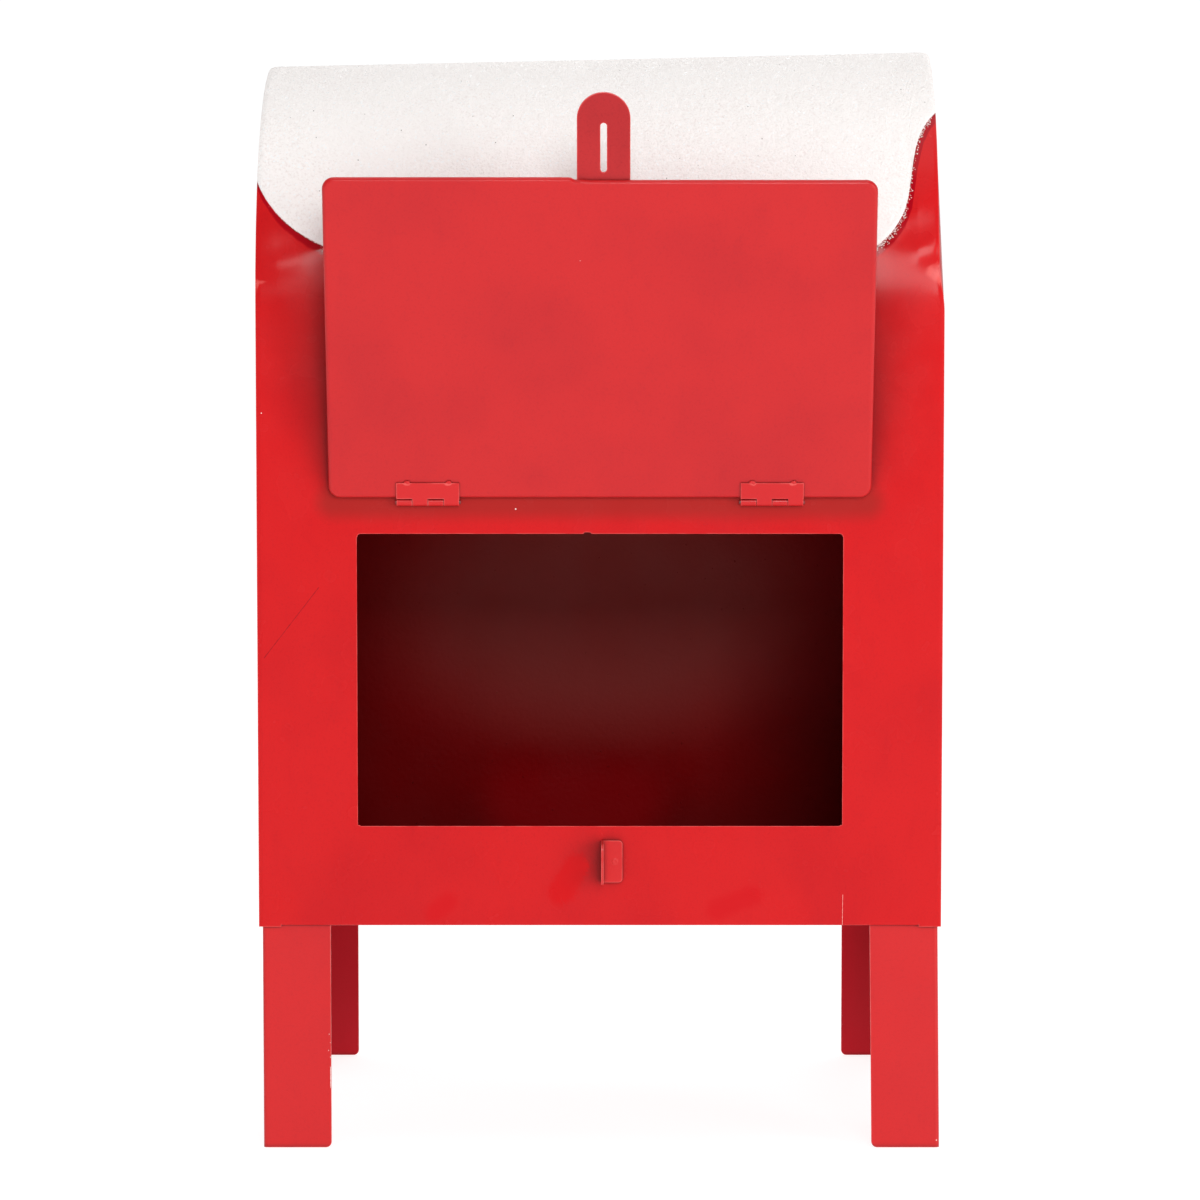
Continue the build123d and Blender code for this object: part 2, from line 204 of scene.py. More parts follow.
def fill_slots(piece: bpy.types.Object, materials: Sequence[bpy.types.Material]) -> None:
    """Puts materials in a piece's slots, in order."""
    for number, material in enumerate(materials):
        if number < len(piece.data.materials):
            piece.data.materials[number] = material
        else:
            piece.data.materials.append(material)


def dress(piece: bpy.types.Object, body: str, materials: Sequence[bpy.types.Material]) -> None:
    """Gives a finished piece its materials and body, and reports it.

    Args:
        piece: the piece, at the origin and unturned.
        body: the CAD body that it moves with.
        materials: the piece's materials, in slot order.
    """
    fill_slots(piece, materials)
    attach(piece, body)
    log.info("%s: %d faces on %s", piece.name, len(piece.data.polygons), body)


def copies(name: str, model: bpy.types.Object, places: Iterable[Matrix]) -> bpy.types.Object:
    """One mesh that holds a copy of a modelled shape at each place. The model is used up.

    Args:
        name: the new piece's name.
        model: the shape, modelled round the origin.
        places: where each copy goes.

    Returns:
        The new piece.
    """
    points = [vertex.co.copy() for vertex in model.data.vertices]
    corners = [tuple(face.vertices) for face in model.data.polygons]
    all_points: list[Vector] = []
    all_faces: list[tuple[int, ...]] = []
    for place in places:
        start = len(all_points)
        all_points.extend(place @ point for point in points)
        all_faces.extend(tuple(start + number for number in face) for face in corners)
    mesh = bpy.data.meshes.new(name)
    mesh.from_pydata(all_points, [], all_faces)
    piece = bpy.data.objects.new(name, mesh)
    bpy.context.scene.collection.objects.link(piece)
    bpy.data.objects.remove(model)
    smooth(piece)
    return piece


def ease(value: float, start: float, end: float) -> float:
    """Smooth step from 0 at start to 1 at end."""
    share = min(max((value - start) / (end - start), 0.0), 1.0)
    return share * share * (3 - 2 * share)


# ---------------------------------------------------------------------------------------------------------
# Finishes
# ---------------------------------------------------------------------------------------------------------

Colour = tuple[float, float, float]


class NodeTree:
    """A material's node tree while it is being built."""

    def __init__(self, name: str) -> None:
        """Starts an empty tree with an output."""
        self.material = bpy.data.materials.new(name)
        self.material.use_nodes = True
        self.tree = self.material.node_tree
        self.tree.nodes.clear()
        self.output = self.add("ShaderNodeOutputMaterial")
        self.place = self.add("ShaderNodeTexCoord").outputs["Object"]

    def add(self, kind: str, inputs: dict[str | int, Any] | None = None, **settings: Any) -> bpy.types.Node:
        """Adds a node.

        Args:
            kind: the node's Blender type.
            inputs: a value or another node's output socket for each named or numbered input.
            settings: the node's own properties.

        Returns:
            The node.
        """
        node = self.tree.nodes.new(kind)
        for name, value in settings.items():
            setattr(node, name, value)
        for name, value in (inputs or {}).items():
            if isinstance(value, bpy.types.NodeSocket):
                self.tree.links.new(value, node.inputs[name])
            else:
                node.inputs[name].default_value = value
        return node

    def sum(self, kind: str, first: Any, second: Any = 0.0, third: Any = 0.0) -> bpy.types.NodeSocket:
        """A Math node's result."""
        return self.add("ShaderNodeMath", {0: first, 1: second, 2: third}, operation=kind).outputs[0]

    def vector(self, kind: str, first: Any, second: Any = (0, 0, 0)) -> bpy.types.Node:
        """A Vector Math node."""
        return self.add("ShaderNodeVectorMath", {0: first, 1: second}, operation=kind)

    def split(self, vector: Any) -> bpy.types.bpy_prop_collection:
        """A vector's X, Y and Z."""
        return self.add("ShaderNodeSeparateXYZ", {0: vector}).outputs

    def openness(self, reach: float, inside: bool = False) -> bpy.types.NodeSocket:
        """How open it is round a place within a reach, or how thick the piece is there if inside is on."""
        node = self.add("ShaderNodeAmbientOcclusion", {"Distance": reach}, samples=SHADE_SAMPLES,
                        inside=inside)
        return node.outputs["AO"]

    def cells(self, size: float) -> bpy.types.bpy_prop_collection:
        """Distances and colours of irregular cells that are about this size."""
        return self.add("ShaderNodeTexVoronoi", {"Vector": self.place, "Scale": 1 / size}).outputs

    def snow_gap(self) -> bpy.types.NodeSocket:
        """Distance down the sheet from the snow's edge."""
        return self.add("ShaderNodeAttribute", attribute_name=SNOW_GAP).outputs["Fac"]

    def cloud(self, grain: float, detail: float = 3.0, stretch: Colour = (1, 1, 1)) -> bpy.types.NodeSocket:
        """Noise whose blotches are about grain metres across, stretched along each axis."""
        spread = self.vector("DIVIDE", self.place, stretch).outputs["Vector"]
        return self.add("ShaderNodeTexNoise", {"Vector": spread, "Scale": 1 / grain, "Detail": detail,
                                               "Roughness": 0.55}).outputs["Fac"]

    def between(self, value: Any, low: float, high: float, out_low: float = 0.0,
                out_high: float = 1.0) -> bpy.types.NodeSocket:
        """Maps value from low..high to out_low..out_high, smoothly and clamped."""
        return self.add("ShaderNodeMapRange", {"Value": value, "From Min": low, "From Max": high,
                                               "To Min": out_low, "To Max": out_high},
                        interpolation_type="SMOOTHSTEP").outputs["Result"]

    def blend(self, share: Any, first: Any, second: Any) -> bpy.types.NodeSocket:
        """Colour from first at share 0 to second at share 1."""
        colours = [(*colour, 1.0) if isinstance(colour, tuple) else colour for colour in (first, second)]
        node = self.add("ShaderNodeMix", {0: share, 6: colours[0], 7: colours[1]}, data_type="RGBA")
        return node.outputs[2]

    def bump(self, height: Any, depth: float, under: Any = None) -> bpy.types.NodeSocket:
        """Bump of a given depth in metres, on top of another bump if one is given."""
        inputs: dict[str | int, Any] = {"Height": height, "Distance": depth, "Strength": 1.0}
        if under is not None:
            inputs["Normal"] = under
        return self.add("ShaderNodeBump", inputs).outputs["Normal"]

    def finish(self, **inputs: Any) -> bpy.types.Material:
        """Ends the tree in a Principled shader, whose inputs are named with _ for a space."""
        shader = self.add("ShaderNodeBsdfPrincipled", {name.replace("_", " "): value
                                                       for name, value in inputs.items()})
        self.tree.links.new(shader.outputs[0], self.output.inputs["Surface"])
        return self.material


@dataclass(frozen=True)
class Mark:
    """A scratch, chip, soft patch, band of painted shade or patch of painted reflection on one wall, from
    start to end across (x) and up (z), in metres.
    """

    start: tuple[float, float]
    end: tuple[float, float]
    width: float
    colour: Colour
    y_range: tuple[float, float]
    ragged: float = 1.0
    fade: tuple[float, float] = (0.75, 1.15)

    def share(self, nodes: NodeTree) -> bpy.types.NodeSocket:
        """1 on the mark and 0 off it."""
        low, high = self.y_range
        flat = nodes.vector("MULTIPLY", nodes.place, (1, 0, 1)).outputs["Vector"]
        run = Vector((self.end[0] - self.start[0], 0, self.end[1] - self.start[1]))
        from_start = nodes.vector("SUBTRACT", flat, (self.start[0], 0, self.start[1])).outputs["Vector"]
        along = nodes.vector("DOT_PRODUCT", from_start, tuple(run)).outputs["Value"]
        share = nodes.sum("DIVIDE", along, max(run.length_squared, 1e-9))
        clamped = nodes.add("ShaderNodeClamp", {"Value": share}).outputs[0]
        reached = nodes.add("ShaderNodeVectorMath", {0: tuple(run), "Scale": clamped}, operation="SCALE")
        away = nodes.vector("SUBTRACT", from_start, reached.outputs["Vector"]).outputs["Vector"]
        distance = nodes.vector("LENGTH", away).outputs["Value"]
        ragged = nodes.sum("MULTIPLY_ADD", nodes.cloud(1.2 * MM), self.width * self.ragged, distance)
        on_line = nodes.between(ragged, self.width * self.fade[0], self.width * self.fade[1], 1.0, 0.0)
        inside = nodes.sum("COMPARE", nodes.split(nodes.place)["Y"], (low + high) / 2, (high - low) / 2)
        return nodes.sum("MULTIPLY", on_line, inside)


@dataclass(frozen=True)
class Enamel:
    """Sprayed enamel on sheet steel: uneven in tone, with painted shade in corners, a pale edge line of worn
    paint and painted highlight, and nibs and marks.
    """

    name: str
    tone: Colour
    deep_tone: Colour
    unevenness: float = 0.35
    patch_grain: float = 70 * MM
    streak_grain: float = 9 * MM
    speckle_grain: float = 1.1 * MM
    roughness: tuple[float, float] = (0.30, 0.44)
    gloss_grain: float = 28 * MM
    gloss: float = 0.32
    peel: float = 0.012 * MM
    peel_grain: float = 2.6 * MM
    nibs: float = 0.03 * MM
    nib_grain: float = 9 * MM
    coat: float = 0.06
    coat_roughness: float = 0.2
    # Painted shade: how far it reaches, its colour, strength and range, darkening corners, seams and what
    # lies under the door.
    painted_shade_reach: float = 3.5 * MM
    painted_shade_tone: Colour = (0.19, 0.004, 0.006)
    painted_shade_depth: float = 0.85
    painted_shade_range: tuple[float, float] = (0.30, 0.97)
    # Pale line on thin edges: worn paint, and painted highlight where the rounded edges catch the light.
    edge_reach: float = 0.65 * MM
    edge_wear_and_highlight_tone: Colour = (0.80, 0.11, 0.10)
    edge_wear_and_highlight: float = 0.8
    wear_grain: float = 11 * MM
    marks: tuple[Mark, ...] = ()
    # Darker tone inside a box round the middle: thin paint inside, and painted shade on the legs' inner faces
    # under the box.
    thin_paint_and_shade_half: Colour | None = None
    thin_paint_and_shade_tone: Colour = (0.50, 0.007, 0.014)
    thin_paint_and_shade_centre_y: float = 24 * MM
    # Deep red round the snow's edge: thick paint, darkened as painted shadow under the snow.
    snow_run_and_shadow: bool = False
    run_and_shadow_tone: Colour = (0.40, 0.0002, 0.007)
    run_and_shadow_reach: tuple[float, float] = (4.2 * MM, 6.4 * MM)
    # Painted sheen and light: a paler tone high in the middle of the inner walls.
    painted_sheen_tone: Colour | None = None
    painted_sheen_middle: Colour = (0, 0, 255 * MM)
    painted_sheen_reach: Colour = (155 * MM, 1000.0, 100 * MM)

    def _painted_sheen(self, nodes: NodeTree) -> bpy.types.NodeSocket:
        """1 in the middle of a wall, where a paler tone is painted sheen and light, and 0 towards the
        corners.
        """
        from_middle = nodes.vector("SUBTRACT", nodes.place, self.painted_sheen_middle).outputs["Vector"]
        spread = nodes.vector("DIVIDE", from_middle, self.painted_sheen_reach).outputs["Vector"]
        return nodes.between(nodes.vector("LENGTH", spread).outputs["Value"], 0.35, 1.0, 1.0, 0.0)

    def _thin_paint_and_shade(self, nodes: NodeTree) -> bpy.types.NodeSocket:
        """1 inside a box round the cabinet's middle: where the spray hardly reached inside, and painted shade
        on the legs' inner faces under the box.
        """
        from_middle = nodes.vector("SUBTRACT", nodes.place, (0, self.thin_paint_and_shade_centre_y, 0)).outputs["Vector"]
        away = nodes.vector("ABSOLUTE", from_middle).outputs["Vector"]
        past = nodes.vector("SUBTRACT", away, self.thin_paint_and_shade_half).outputs["Vector"]
        split = nodes.split(past)
        widest = nodes.sum("MAXIMUM", nodes.sum("MAXIMUM", split["X"], split["Y"]), split["Z"])
        return nodes.sum("LESS_THAN", widest, 0.0)

    def _run_and_shadow(self, nodes: NodeTree) -> bpy.types.NodeSocket:
        """1 along the snow's edge: a thick line of paint, darkened as painted shadow under the snow."""
        ragged = nodes.sum("MULTIPLY_ADD", nodes.cloud(7 * MM), 2.6 * MM, nodes.snow_gap())
        return nodes.between(ragged, *self.run_and_shadow_reach, 1.0, 0.0)

    def build(self) -> bpy.types.Material:
        """Makes the material."""
        nodes = NodeTree(self.name)
        patches = nodes.between(nodes.cloud(self.patch_grain, 2.0), 0.42, 0.72, 0.0, self.unevenness)
        streaks = nodes.between(nodes.cloud(self.streak_grain, 4.0, (1, 1, 2.2)), 0.5, 0.8, 0.0,
                                self.unevenness * 0.5)
        speckle = nodes.between(nodes.cloud(self.speckle_grain, 2.0), 0.48, 0.75, 0.0, self.unevenness * 0.8)
        uneven = nodes.sum("ADD", nodes.sum("ADD", patches, streaks), speckle)
        colour = nodes.blend(uneven, self.tone, self.deep_tone)
        gloss = nodes.between(nodes.cloud(self.gloss_grain), 0.3, 0.7, *self.roughness)
        if self.thin_paint_and_shade_half is not None:
            colour = nodes.blend(self._thin_paint_and_shade(nodes), colour, self.thin_paint_and_shade_tone)
        # Painted sheen and light in the middle of the inner walls.
        if self.painted_sheen_tone is not None:
            colour = nodes.blend(self._painted_sheen(nodes), colour, self.painted_sheen_tone)
        # Thick paint along the snow's edge, darkened as painted shadow, and glossier.
        if self.snow_run_and_shadow:
            run = self._run_and_shadow(nodes)
            colour = nodes.blend(run, colour, self.run_and_shadow_tone)
            gloss = nodes.sum("MULTIPLY_ADD", run, -0.16, gloss)
        # Painted shade: darkens the colour where the surroundings close in, in corners, seams and under
        # overhanging parts.
        open_air = nodes.openness(self.painted_shade_reach)
        painted_shade_share = nodes.between(open_air, *self.painted_shade_range, self.painted_shade_depth, 0.0)
        colour = nodes.blend(painted_shade_share, colour, self.painted_shade_tone)
        # Pale line on thin edges, partly worn paint and partly painted highlight.
        thin = nodes.between(nodes.openness(self.edge_reach, inside=True), 0.55, 0.97, self.edge_wear_and_highlight, 0.0)
        worn = nodes.between(nodes.cloud(self.wear_grain, 4.0), 0.32, 0.6, 0.25, 1.0)
        rubbed_and_lit_edge = nodes.sum("MULTIPLY", thin, worn)
        colour = nodes.blend(rubbed_and_lit_edge, colour, self.edge_wear_and_highlight_tone)
        for mark in self.marks:
            colour = nodes.blend(mark.share(nodes), colour, mark.colour)
        peel = nodes.bump(nodes.cloud(self.peel_grain, 2.0), self.peel)
        nib = nodes.between(nodes.cells(self.nib_grain)["Distance"], 0.02, 0.07, 1.0, 0.0)
        rough_skin = nodes.bump(nib, self.nibs, peel)
        return nodes.finish(Base_Color=colour, Roughness=gloss, Normal=rough_skin, Coat_Weight=self.coat,
                            Coat_Roughness=self.coat_roughness, Specular_IOR_Level=self.gloss)


@dataclass(frozen=True)
class SnowPaste:
    """Thick textured white paint, strewn with glitter and a few dark specks."""

    name: str
    tone: Colour = (0.975, 0.935, 0.915)
    shade: Colour = (0.87, 0.80, 0.775)
    speck: Colour = (0.10, 0.09, 0.08)
    rim_tone: Colour = (0.44, 0.045, 0.05)
    rim_reach: tuple[float, float] = (-0.9 * MM, -0.1 * MM)
    grain_size: float = 1.3 * MM
    drift_size: float = 45 * MM
    flake: float = 0.9 * MM
    crumb_depth: float = 0.5 * MM
    facet_depth: float = 0.10 * MM

    def build(self) -> bpy.types.Material:
        """Makes the material."""
        nodes = NodeTree(self.name)
        grain = nodes.cloud(self.grain_size, 4.0)
        drifted = nodes.between(nodes.cloud(self.drift_size, 2.0), 0.35, 0.7, 0.35, 0.9)
        dull = nodes.sum("MULTIPLY", nodes.between(grain, 0.52, 0.30), drifted)
        white = nodes.blend(dull, self.tone, self.shade)
        cells = nodes.cells(self.flake)
        lot = nodes.split(cells["Color"])
        glitter = nodes.between(lot["X"], 0.955, 0.965)
        bright = nodes.blend(glitter, white, (1.0, 1.0, 1.0))
        middle = nodes.between(cells["Distance"], 0.30, 0.42, 1.0, 0.0)
        dark = nodes.sum("MULTIPLY", nodes.between(lot["Y"], 0.9985, 0.999), middle)
        colour = nodes.blend(dark, bright, self.speck)
        rim = nodes.sum("MULTIPLY", nodes.between(nodes.snow_gap(), *self.rim_reach),
                        nodes.between(nodes.cloud(1.1 * MM), 0.35, 0.6, 0.25, 1.0))
        colour = nodes.blend(rim, colour, self.rim_tone)
        gloss = nodes.between(glitter, 0.0, 1.0, 0.75, 0.12)
        crumb = nodes.bump(grain, self.crumb_depth)
        facets = nodes.bump(lot["Z"], self.facet_depth, crumb)
        return nodes.finish(Base_Color=colour, Roughness=gloss, Normal=facets, Specular_IOR_Level=0.5)


@dataclass(frozen=True)
class PinSteel:
    """Cut steel wire, mostly painted over."""

    name: str
    tone: Colour = (0.26, 0.02, 0.02)
    steel: Colour = (0.16, 0.12, 0.12)

    def build(self) -> bpy.types.Material:
        """Makes the material."""
        nodes = NodeTree(self.name)
        bare = nodes.between(nodes.cloud(1.5 * MM), 0.45, 0.62)
        gloss = nodes.between(nodes.cloud(0.8 * MM), 0.3, 0.7, 0.35, 0.6)
        scored = nodes.bump(nodes.cloud(0.5 * MM, 2.0, (0.2, 1, 1)), 0.02 * MM)
        return nodes.finish(Base_Color=nodes.blend(bare, self.tone, self.steel), Roughness=gloss,
                            Normal=scored, Metallic=bare)


@dataclass(frozen=True)
class StudioPaper:
    """Matt white paper for the floor and backdrop."""

    name: str
    tone: Colour = (0.30, 0.30, 0.30)
    glow: float = 0.86

    def build(self) -> bpy.types.Material:
        """Makes the material."""
        nodes = NodeTree(self.name)
        return nodes.finish(Base_Color=(*self.tone, 1.0), Roughness=0.95, Specular_IOR_Level=0.1,
                            Emission_Color=(1.0, 1.0, 1.0, 1.0), Emission_Strength=self.glow)


# ---------------------------------------------------------------------------------------------------------
# The cabinet
# ---------------------------------------------------------------------------------------------------------


@dataclass(frozen=True)
class Cabinet:
    """Where the cabinet stands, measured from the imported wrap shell."""

    left: float
    right: float
    back: float
    front: float
    bottom: float
    top: float

    @classmethod
    def measured(cls) -> "Cabinet":
        """Reads the wrap shell's box."""
        low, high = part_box("wrap_shell")
        return cls(low.x, high.x, low.y, high.y, low.z, high.z)

    @property
    def radius(self) -> float:
        """Outer radius of the roof."""
        return (self.front - self.back) / 2

    @property
    def middle(self) -> float:
        """Y of the roof's axis."""
        return (self.front + self.back) / 2

    @property
    def spring(self) -> float:
        """Height of the roof's axis, where the walls start to curve."""
        return self.top - self.radius

    @property
    def wall_height(self) -> float:
        """Height of the flat part of each wall."""
        return self.spring - self.bottom

    def wall_y(self, side: Side) -> float:
        """Y of one wall's outer face."""
        return self.back if side is Side.BACK else self.front

    def on_roof(self, x: float, angle: float, radius: float) -> Vector:
        """Point over the roof: angle 0 is the back's level and pi the front's, in radians."""
        return Vector((x, self.middle - radius * math.cos(angle), self.spring + radius * math.sin(angle)))

    def from_axis(self, point: Vector) -> float:
        """Distance of a point from the roof's axis."""
        return math.hypot(point.y - self.middle, point.z - self.spring)

    def outward(self, point: Vector) -> Vector:
        """Unit direction out of the sheet at a point on it."""
        if point.z <= self.spring:
            return Vector((0, -1 if point.y < self.middle else 1, 0))
        return Vector((0, point.y - self.middle, point.z - self.spring)).normalized()


class SnowEdge:
    """Where the packed snow coat ends on each side of the roof, found by looking in at it."""

    def __init__(self, cabinet: Cabinet, columns: int = 230, tries: int = 13) -> None:
        """Looks for the edge in each of a number of columns, halving the gap a number of times."""
        self.cabinet = cabinet
        self.columns = columns
        self.coat = frame["nodes"]["snow_coat"]
        self.angles = {side: [self._found(side, column, tries) for column in range(columns + 1)]
                       for side in Side}

    def _covered(self, x: float, angle: float) -> bool:
        """Whether the coat lies over this place on the roof."""
        box = self.cabinet
        outside = box.on_roof(x, angle, box.radius * 1.1)
        target = box.on_roof(x, angle, box.radius * 0.9)
        hit, place, _, _ = self.coat.ray_cast(outside, (target - outside).normalized())
        return hit and box.from_axis(place) > box.radius

    def _found(self, side: Side, column: int, tries: int) -> float:
        """How far above level the coat's lower edge lies in one column, in radians."""
        box = self.cabinet
        margin = 0.1 * MM
        x = box.left + margin + (box.right - box.left - 2 * margin) * column / self.columns
        bare, covered = 0.0, math.pi / 2
        for _ in range(tries):
            tried = (bare + covered) / 2
            found = self._covered(x, tried if side is Side.BACK else math.pi - tried)
            bare, covered = (bare, tried) if found else (tried, covered)
        return covered

    def angle_at(self, side: Side, x: float) -> float:
        """The edge's angle above level at any x, in radians."""
        box = self.cabinet
        share = (x - box.left) / (box.right - box.left) * self.columns
        number = min(max(int(share), 0), self.columns - 1)
        left, right = self.angles[side][number], self.angles[side][number + 1]
        return left + (right - left) * min(max(share - number, 0.0), 1.0)

    def gap(self, p: Vector) -> float:
        """Distance down the sheet from the coat's edge to a point, less than 0 under the coat."""
        box = self.cabinet
        side = Side.BACK if p.y < box.middle else Side.FRONT
        edge = self.angle_at(side, p.x) * box.radius
        if p.z <= box.spring:
            return edge + box.spring - p.z
        return edge - math.atan2(p.z - box.spring, abs(p.y - box.middle)) * box.radius

    def measure(self, piece: bpy.types.Object) -> None:
        """Writes each vertex's gap to the piece, for its finish to read."""
        gaps = piece.data.attributes.new(SNOW_GAP, "FLOAT", "POINT")
        for number, vertex in enumerate(piece.data.vertices):
            gaps.data[number].value = self.gap(vertex.co)


@dataclass(frozen=True)
class Hole:
    """Rectangular opening in one wall, with small rounded corners."""

    side: Side
    width: float
    bottom: float
    top: float
    corner: float = 2 * MM
    nick_x: float | None = None
    nick_half: float = 1.4 * MM
    nick_rise: float = 0.8 * MM


@dataclass(frozen=True)
class Dent:
    """Smooth local bend in the sheet. Depth is outwards, so a dent's is negative."""

    side: Side
    x: float
    z: float
    reach_x: float
    reach_z: float
    depth: float
    turn: float = 0.0

    def depth_at(self, x: float, z: float) -> float:
        """How far the sheet is moved outwards at a place on the wall."""
        across, up = x - self.x, z - self.z
        cos, sin = math.cos(self.turn), math.sin(self.turn)
        u = (across * cos + up * sin) / self.reach_x
        v = (up * cos - across * sin) / self.reach_z
        return self.depth * math.exp(-u * u - v * v)


@dataclass(frozen=True)
class Lean:
    """How the roof has settled: its left end's crown sits low, and its right end is drawn in."""

    drop: float = 7.5 * MM
    draw_in: float = 2.6 * MM
    draw_rise: float = 25 * MM

    def settled(self, box: Cabinet, p: Vector) -> Vector:
        """Where a point of the true roof really lies."""
        left_share = (box.right - p.x) / (box.right - box.left)
        height_share = max(p.z - box.spring, 0.0) / box.radius
        drawn = self.draw_in * ease(p.z, box.spring, box.spring + self.draw_rise)
        drawn *= ease(p.x, 0.6 * box.right, box.right) * (1 - 0.7 * height_share**3)
        return p - Vector((drawn, 0, self.drop * left_share * height_share**3))


@dataclass
class WrapSheet:
    """The one bent sheet that makes the back wall, the roof and the front wall, hemmed along the bottom."""

    cabinet: Cabinet
    lean: Lean
    snow: SnowEdge
    holes: tuple[Hole, ...]
    dents: tuple[Dent, ...]
    sheet: float = 0.8 * MM
    columns: int = 100
    wall_rows: int = 60
    roof_rows: int = 110
    side_flange: float = 11.5 * MM
    hem_height: float = 7 * MM
    hem_radius: float = 0.85 * MM
    hem_rise: float = 0.7 * MM
    hem_steps: int = 6
    wave_depth: float = 0.45 * MM
    wave_length: float = 75 * MM
    edge_bevel: float = 0.12 * MM
    end_curl: float = 0.40 * MM
    curl_reach: float = 2.4 * MM
    deepest: float = 0.60 * MM

    def build(self, materials: Sequence[bpy.types.Material]) -> bpy.types.Object:
        """Models the sheet and dresses it."""
        piece = self._bent_sheet()
        for from_end in (0.6 * MM, 1.2 * MM, 1.8 * MM, self.curl_reach):
            cut(piece, (self.cabinet.left + from_end, 0, 0), (1, 0, 0))
            cut(piece, (self.cabinet.right - from_end, 0, 0), (1, 0, 0))
        self._cut_holes(piece)
        self._fold_hems(piece)
        move_points(piece, self._beaten)
        fill_slots(piece, materials)
        modify(piece, "SOLIDIFY", thickness=self.sheet, offset=-1.0, use_even_offset=True, material_offset=1)
        modify(piece, "BEVEL", width=self.edge_bevel, segments=1, limit_method="ANGLE",
               angle_limit=BEVEL_ANGLE)
        self.snow.measure(piece)
        smooth(piece)
        modify(piece, "WEIGHTED_NORMAL", keep_sharp=True)
        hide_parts("wrap_shell")
        dress(piece, CABINET, materials)
        return piece

    @property
    def _fold_z(self) -> float:
        """Height at which the wall turns into the hem's fold."""
        return self.cabinet.bottom + self.hem_rise + self.hem_radius

    def _bent_sheet(self) -> bpy.types.Object:
        """The back wall, bent on over the roof and down the front, as its outer face."""
        box = self.cabinet
        deselect_everything()
        bpy.ops.mesh.primitive_grid_add(
            x_subdivisions=self.columns, y_subdivisions=self.wall_rows, size=1.0,
            rotation=(math.pi / 2, 0, 0),
            location=((box.left + box.right) / 2, box.back, (box.bottom + box.spring) / 2))
        piece = bpy.context.object
        piece.name = piece.data.name = "wrap_sheet"
        bpy.ops.transform.resize(value=(box.right - box.left, 1, box.wall_height))
        bpy.ops.object.transform_apply(location=True, rotation=True, scale=True)
        select_border(piece, lambda p: p.z > box.spring - SAME_LEVEL)
        with editing(piece, Part.EDGE):
            bpy.ops.mesh.spin(steps=self.roof_rows, angle=math.pi, center=(0, box.middle, box.spring),
                              axis=(1, 0, 0))
        for _ in range(self.wall_rows):
            extrude_border(piece, Vector((0, 0, -box.wall_height / self.wall_rows)))
        with editing(piece):
            bpy.ops.mesh.select_all(action="SELECT")
            bpy.ops.mesh.remove_doubles(threshold=SAME_LEVEL)
            bpy.ops.mesh.normals_make_consistent(inside=False)
        return piece

    def _cut_holes(self, piece: bpy.types.Object) -> None:
        """Cuts out the openings and rounds their corners."""
        for hole in self.holes:
            half = hole.width / 2
            for inset in (0.0, hole.corner):
                for x in (inset - half, half - inset):
                    cut(piece, (x, 0, 0), (1, 0, 0))
                for z in (hole.bottom + inset, hole.top - inset):
                    cut(piece, (0, 0, z), (0, 0, 1))
            wall_y = self.cabinet.wall_y(hole.side)
            pull = hole.corner * (1 - math.sqrt(0.5))
            centre_z = (hole.bottom + hole.top) / 2

            def on_wall(p: Vector) -> bool:
                return abs(p.y - wall_y) < MM

            def rounded(p: Vector) -> Vector:
                return p - Vector((math.copysign(pull, p.x), 0, math.copysign(pull, p.z - centre_z)))

            def is_corner(p: Vector) -> bool:
                end = min(abs(p.z - hole.bottom), abs(p.z - hole.top))
                return on_wall(p) and abs(abs(p.x) - half) < SAME_PLACE and end < SAME_PLACE

            delete_faces(piece, lambda p: on_wall(p) and abs(p.x) < half and hole.bottom < p.z < hole.top)
            move_points(piece, rounded, is_corner)
            if hole.nick_x is not None:
                self._nick(piece, hole)

    def _nick(self, piece: bpy.types.Object, hole: Hole) -> None:
        """Bends a small nick up into the opening's top edge."""
        for step in (-1.5, -1.0, 1.0, 1.5):
            cut(piece, (hole.nick_x + step * hole.nick_half, 0, 0), (1, 0, 0))
        wall_y = self.cabinet.wall_y(hole.side)
        move_points(piece, lambda p: p + Vector((0, 0, hole.nick_rise)),
                    lambda p: abs(p.y - wall_y) < MM and abs(p.z - hole.top) < SAME_PLACE
                    and abs(p.x - hole.nick_x) < 1.2 * hole.nick_half)

    def _fold_hems(self, piece: bpy.types.Object) -> None:
        """Folds the bottom edges up inside, between the side panels' flanges."""
        box = self.cabinet
        hem_half = (box.right - box.left) / 2 - self.side_flange
        fold_z = self._fold_z
        for x in (-hem_half, hem_half):
            cut(piece, (x, 0, 0), (1, 0, 0))
        cut(piece, (0, 0, fold_z), (0, 0, 1))
        delete_faces(piece, lambda p: abs(p.x) < hem_half and p.z < fold_z)
        for side in Side:
            wall_y = box.wall_y(side)
            select_border(piece, lambda p: abs(p.x) < hem_half and abs(p.z - fold_z) < SAME_LEVEL
                          and abs(p.y - wall_y) < SAME_LEVEL)
            turn = math.pi / self.hem_steps
            for step in range(self.hem_steps):
                before, after = turn * step, turn * (step + 1)
                inward = self.hem_radius * (math.cos(before) - math.cos(after))
                down = self.hem_radius * (math.sin(after) - math.sin(before))
                extrude_border(piece, Vector((0, -side.value * inward, -down)))
            extrude_border(piece, Vector((0, 0, self.hem_height)))

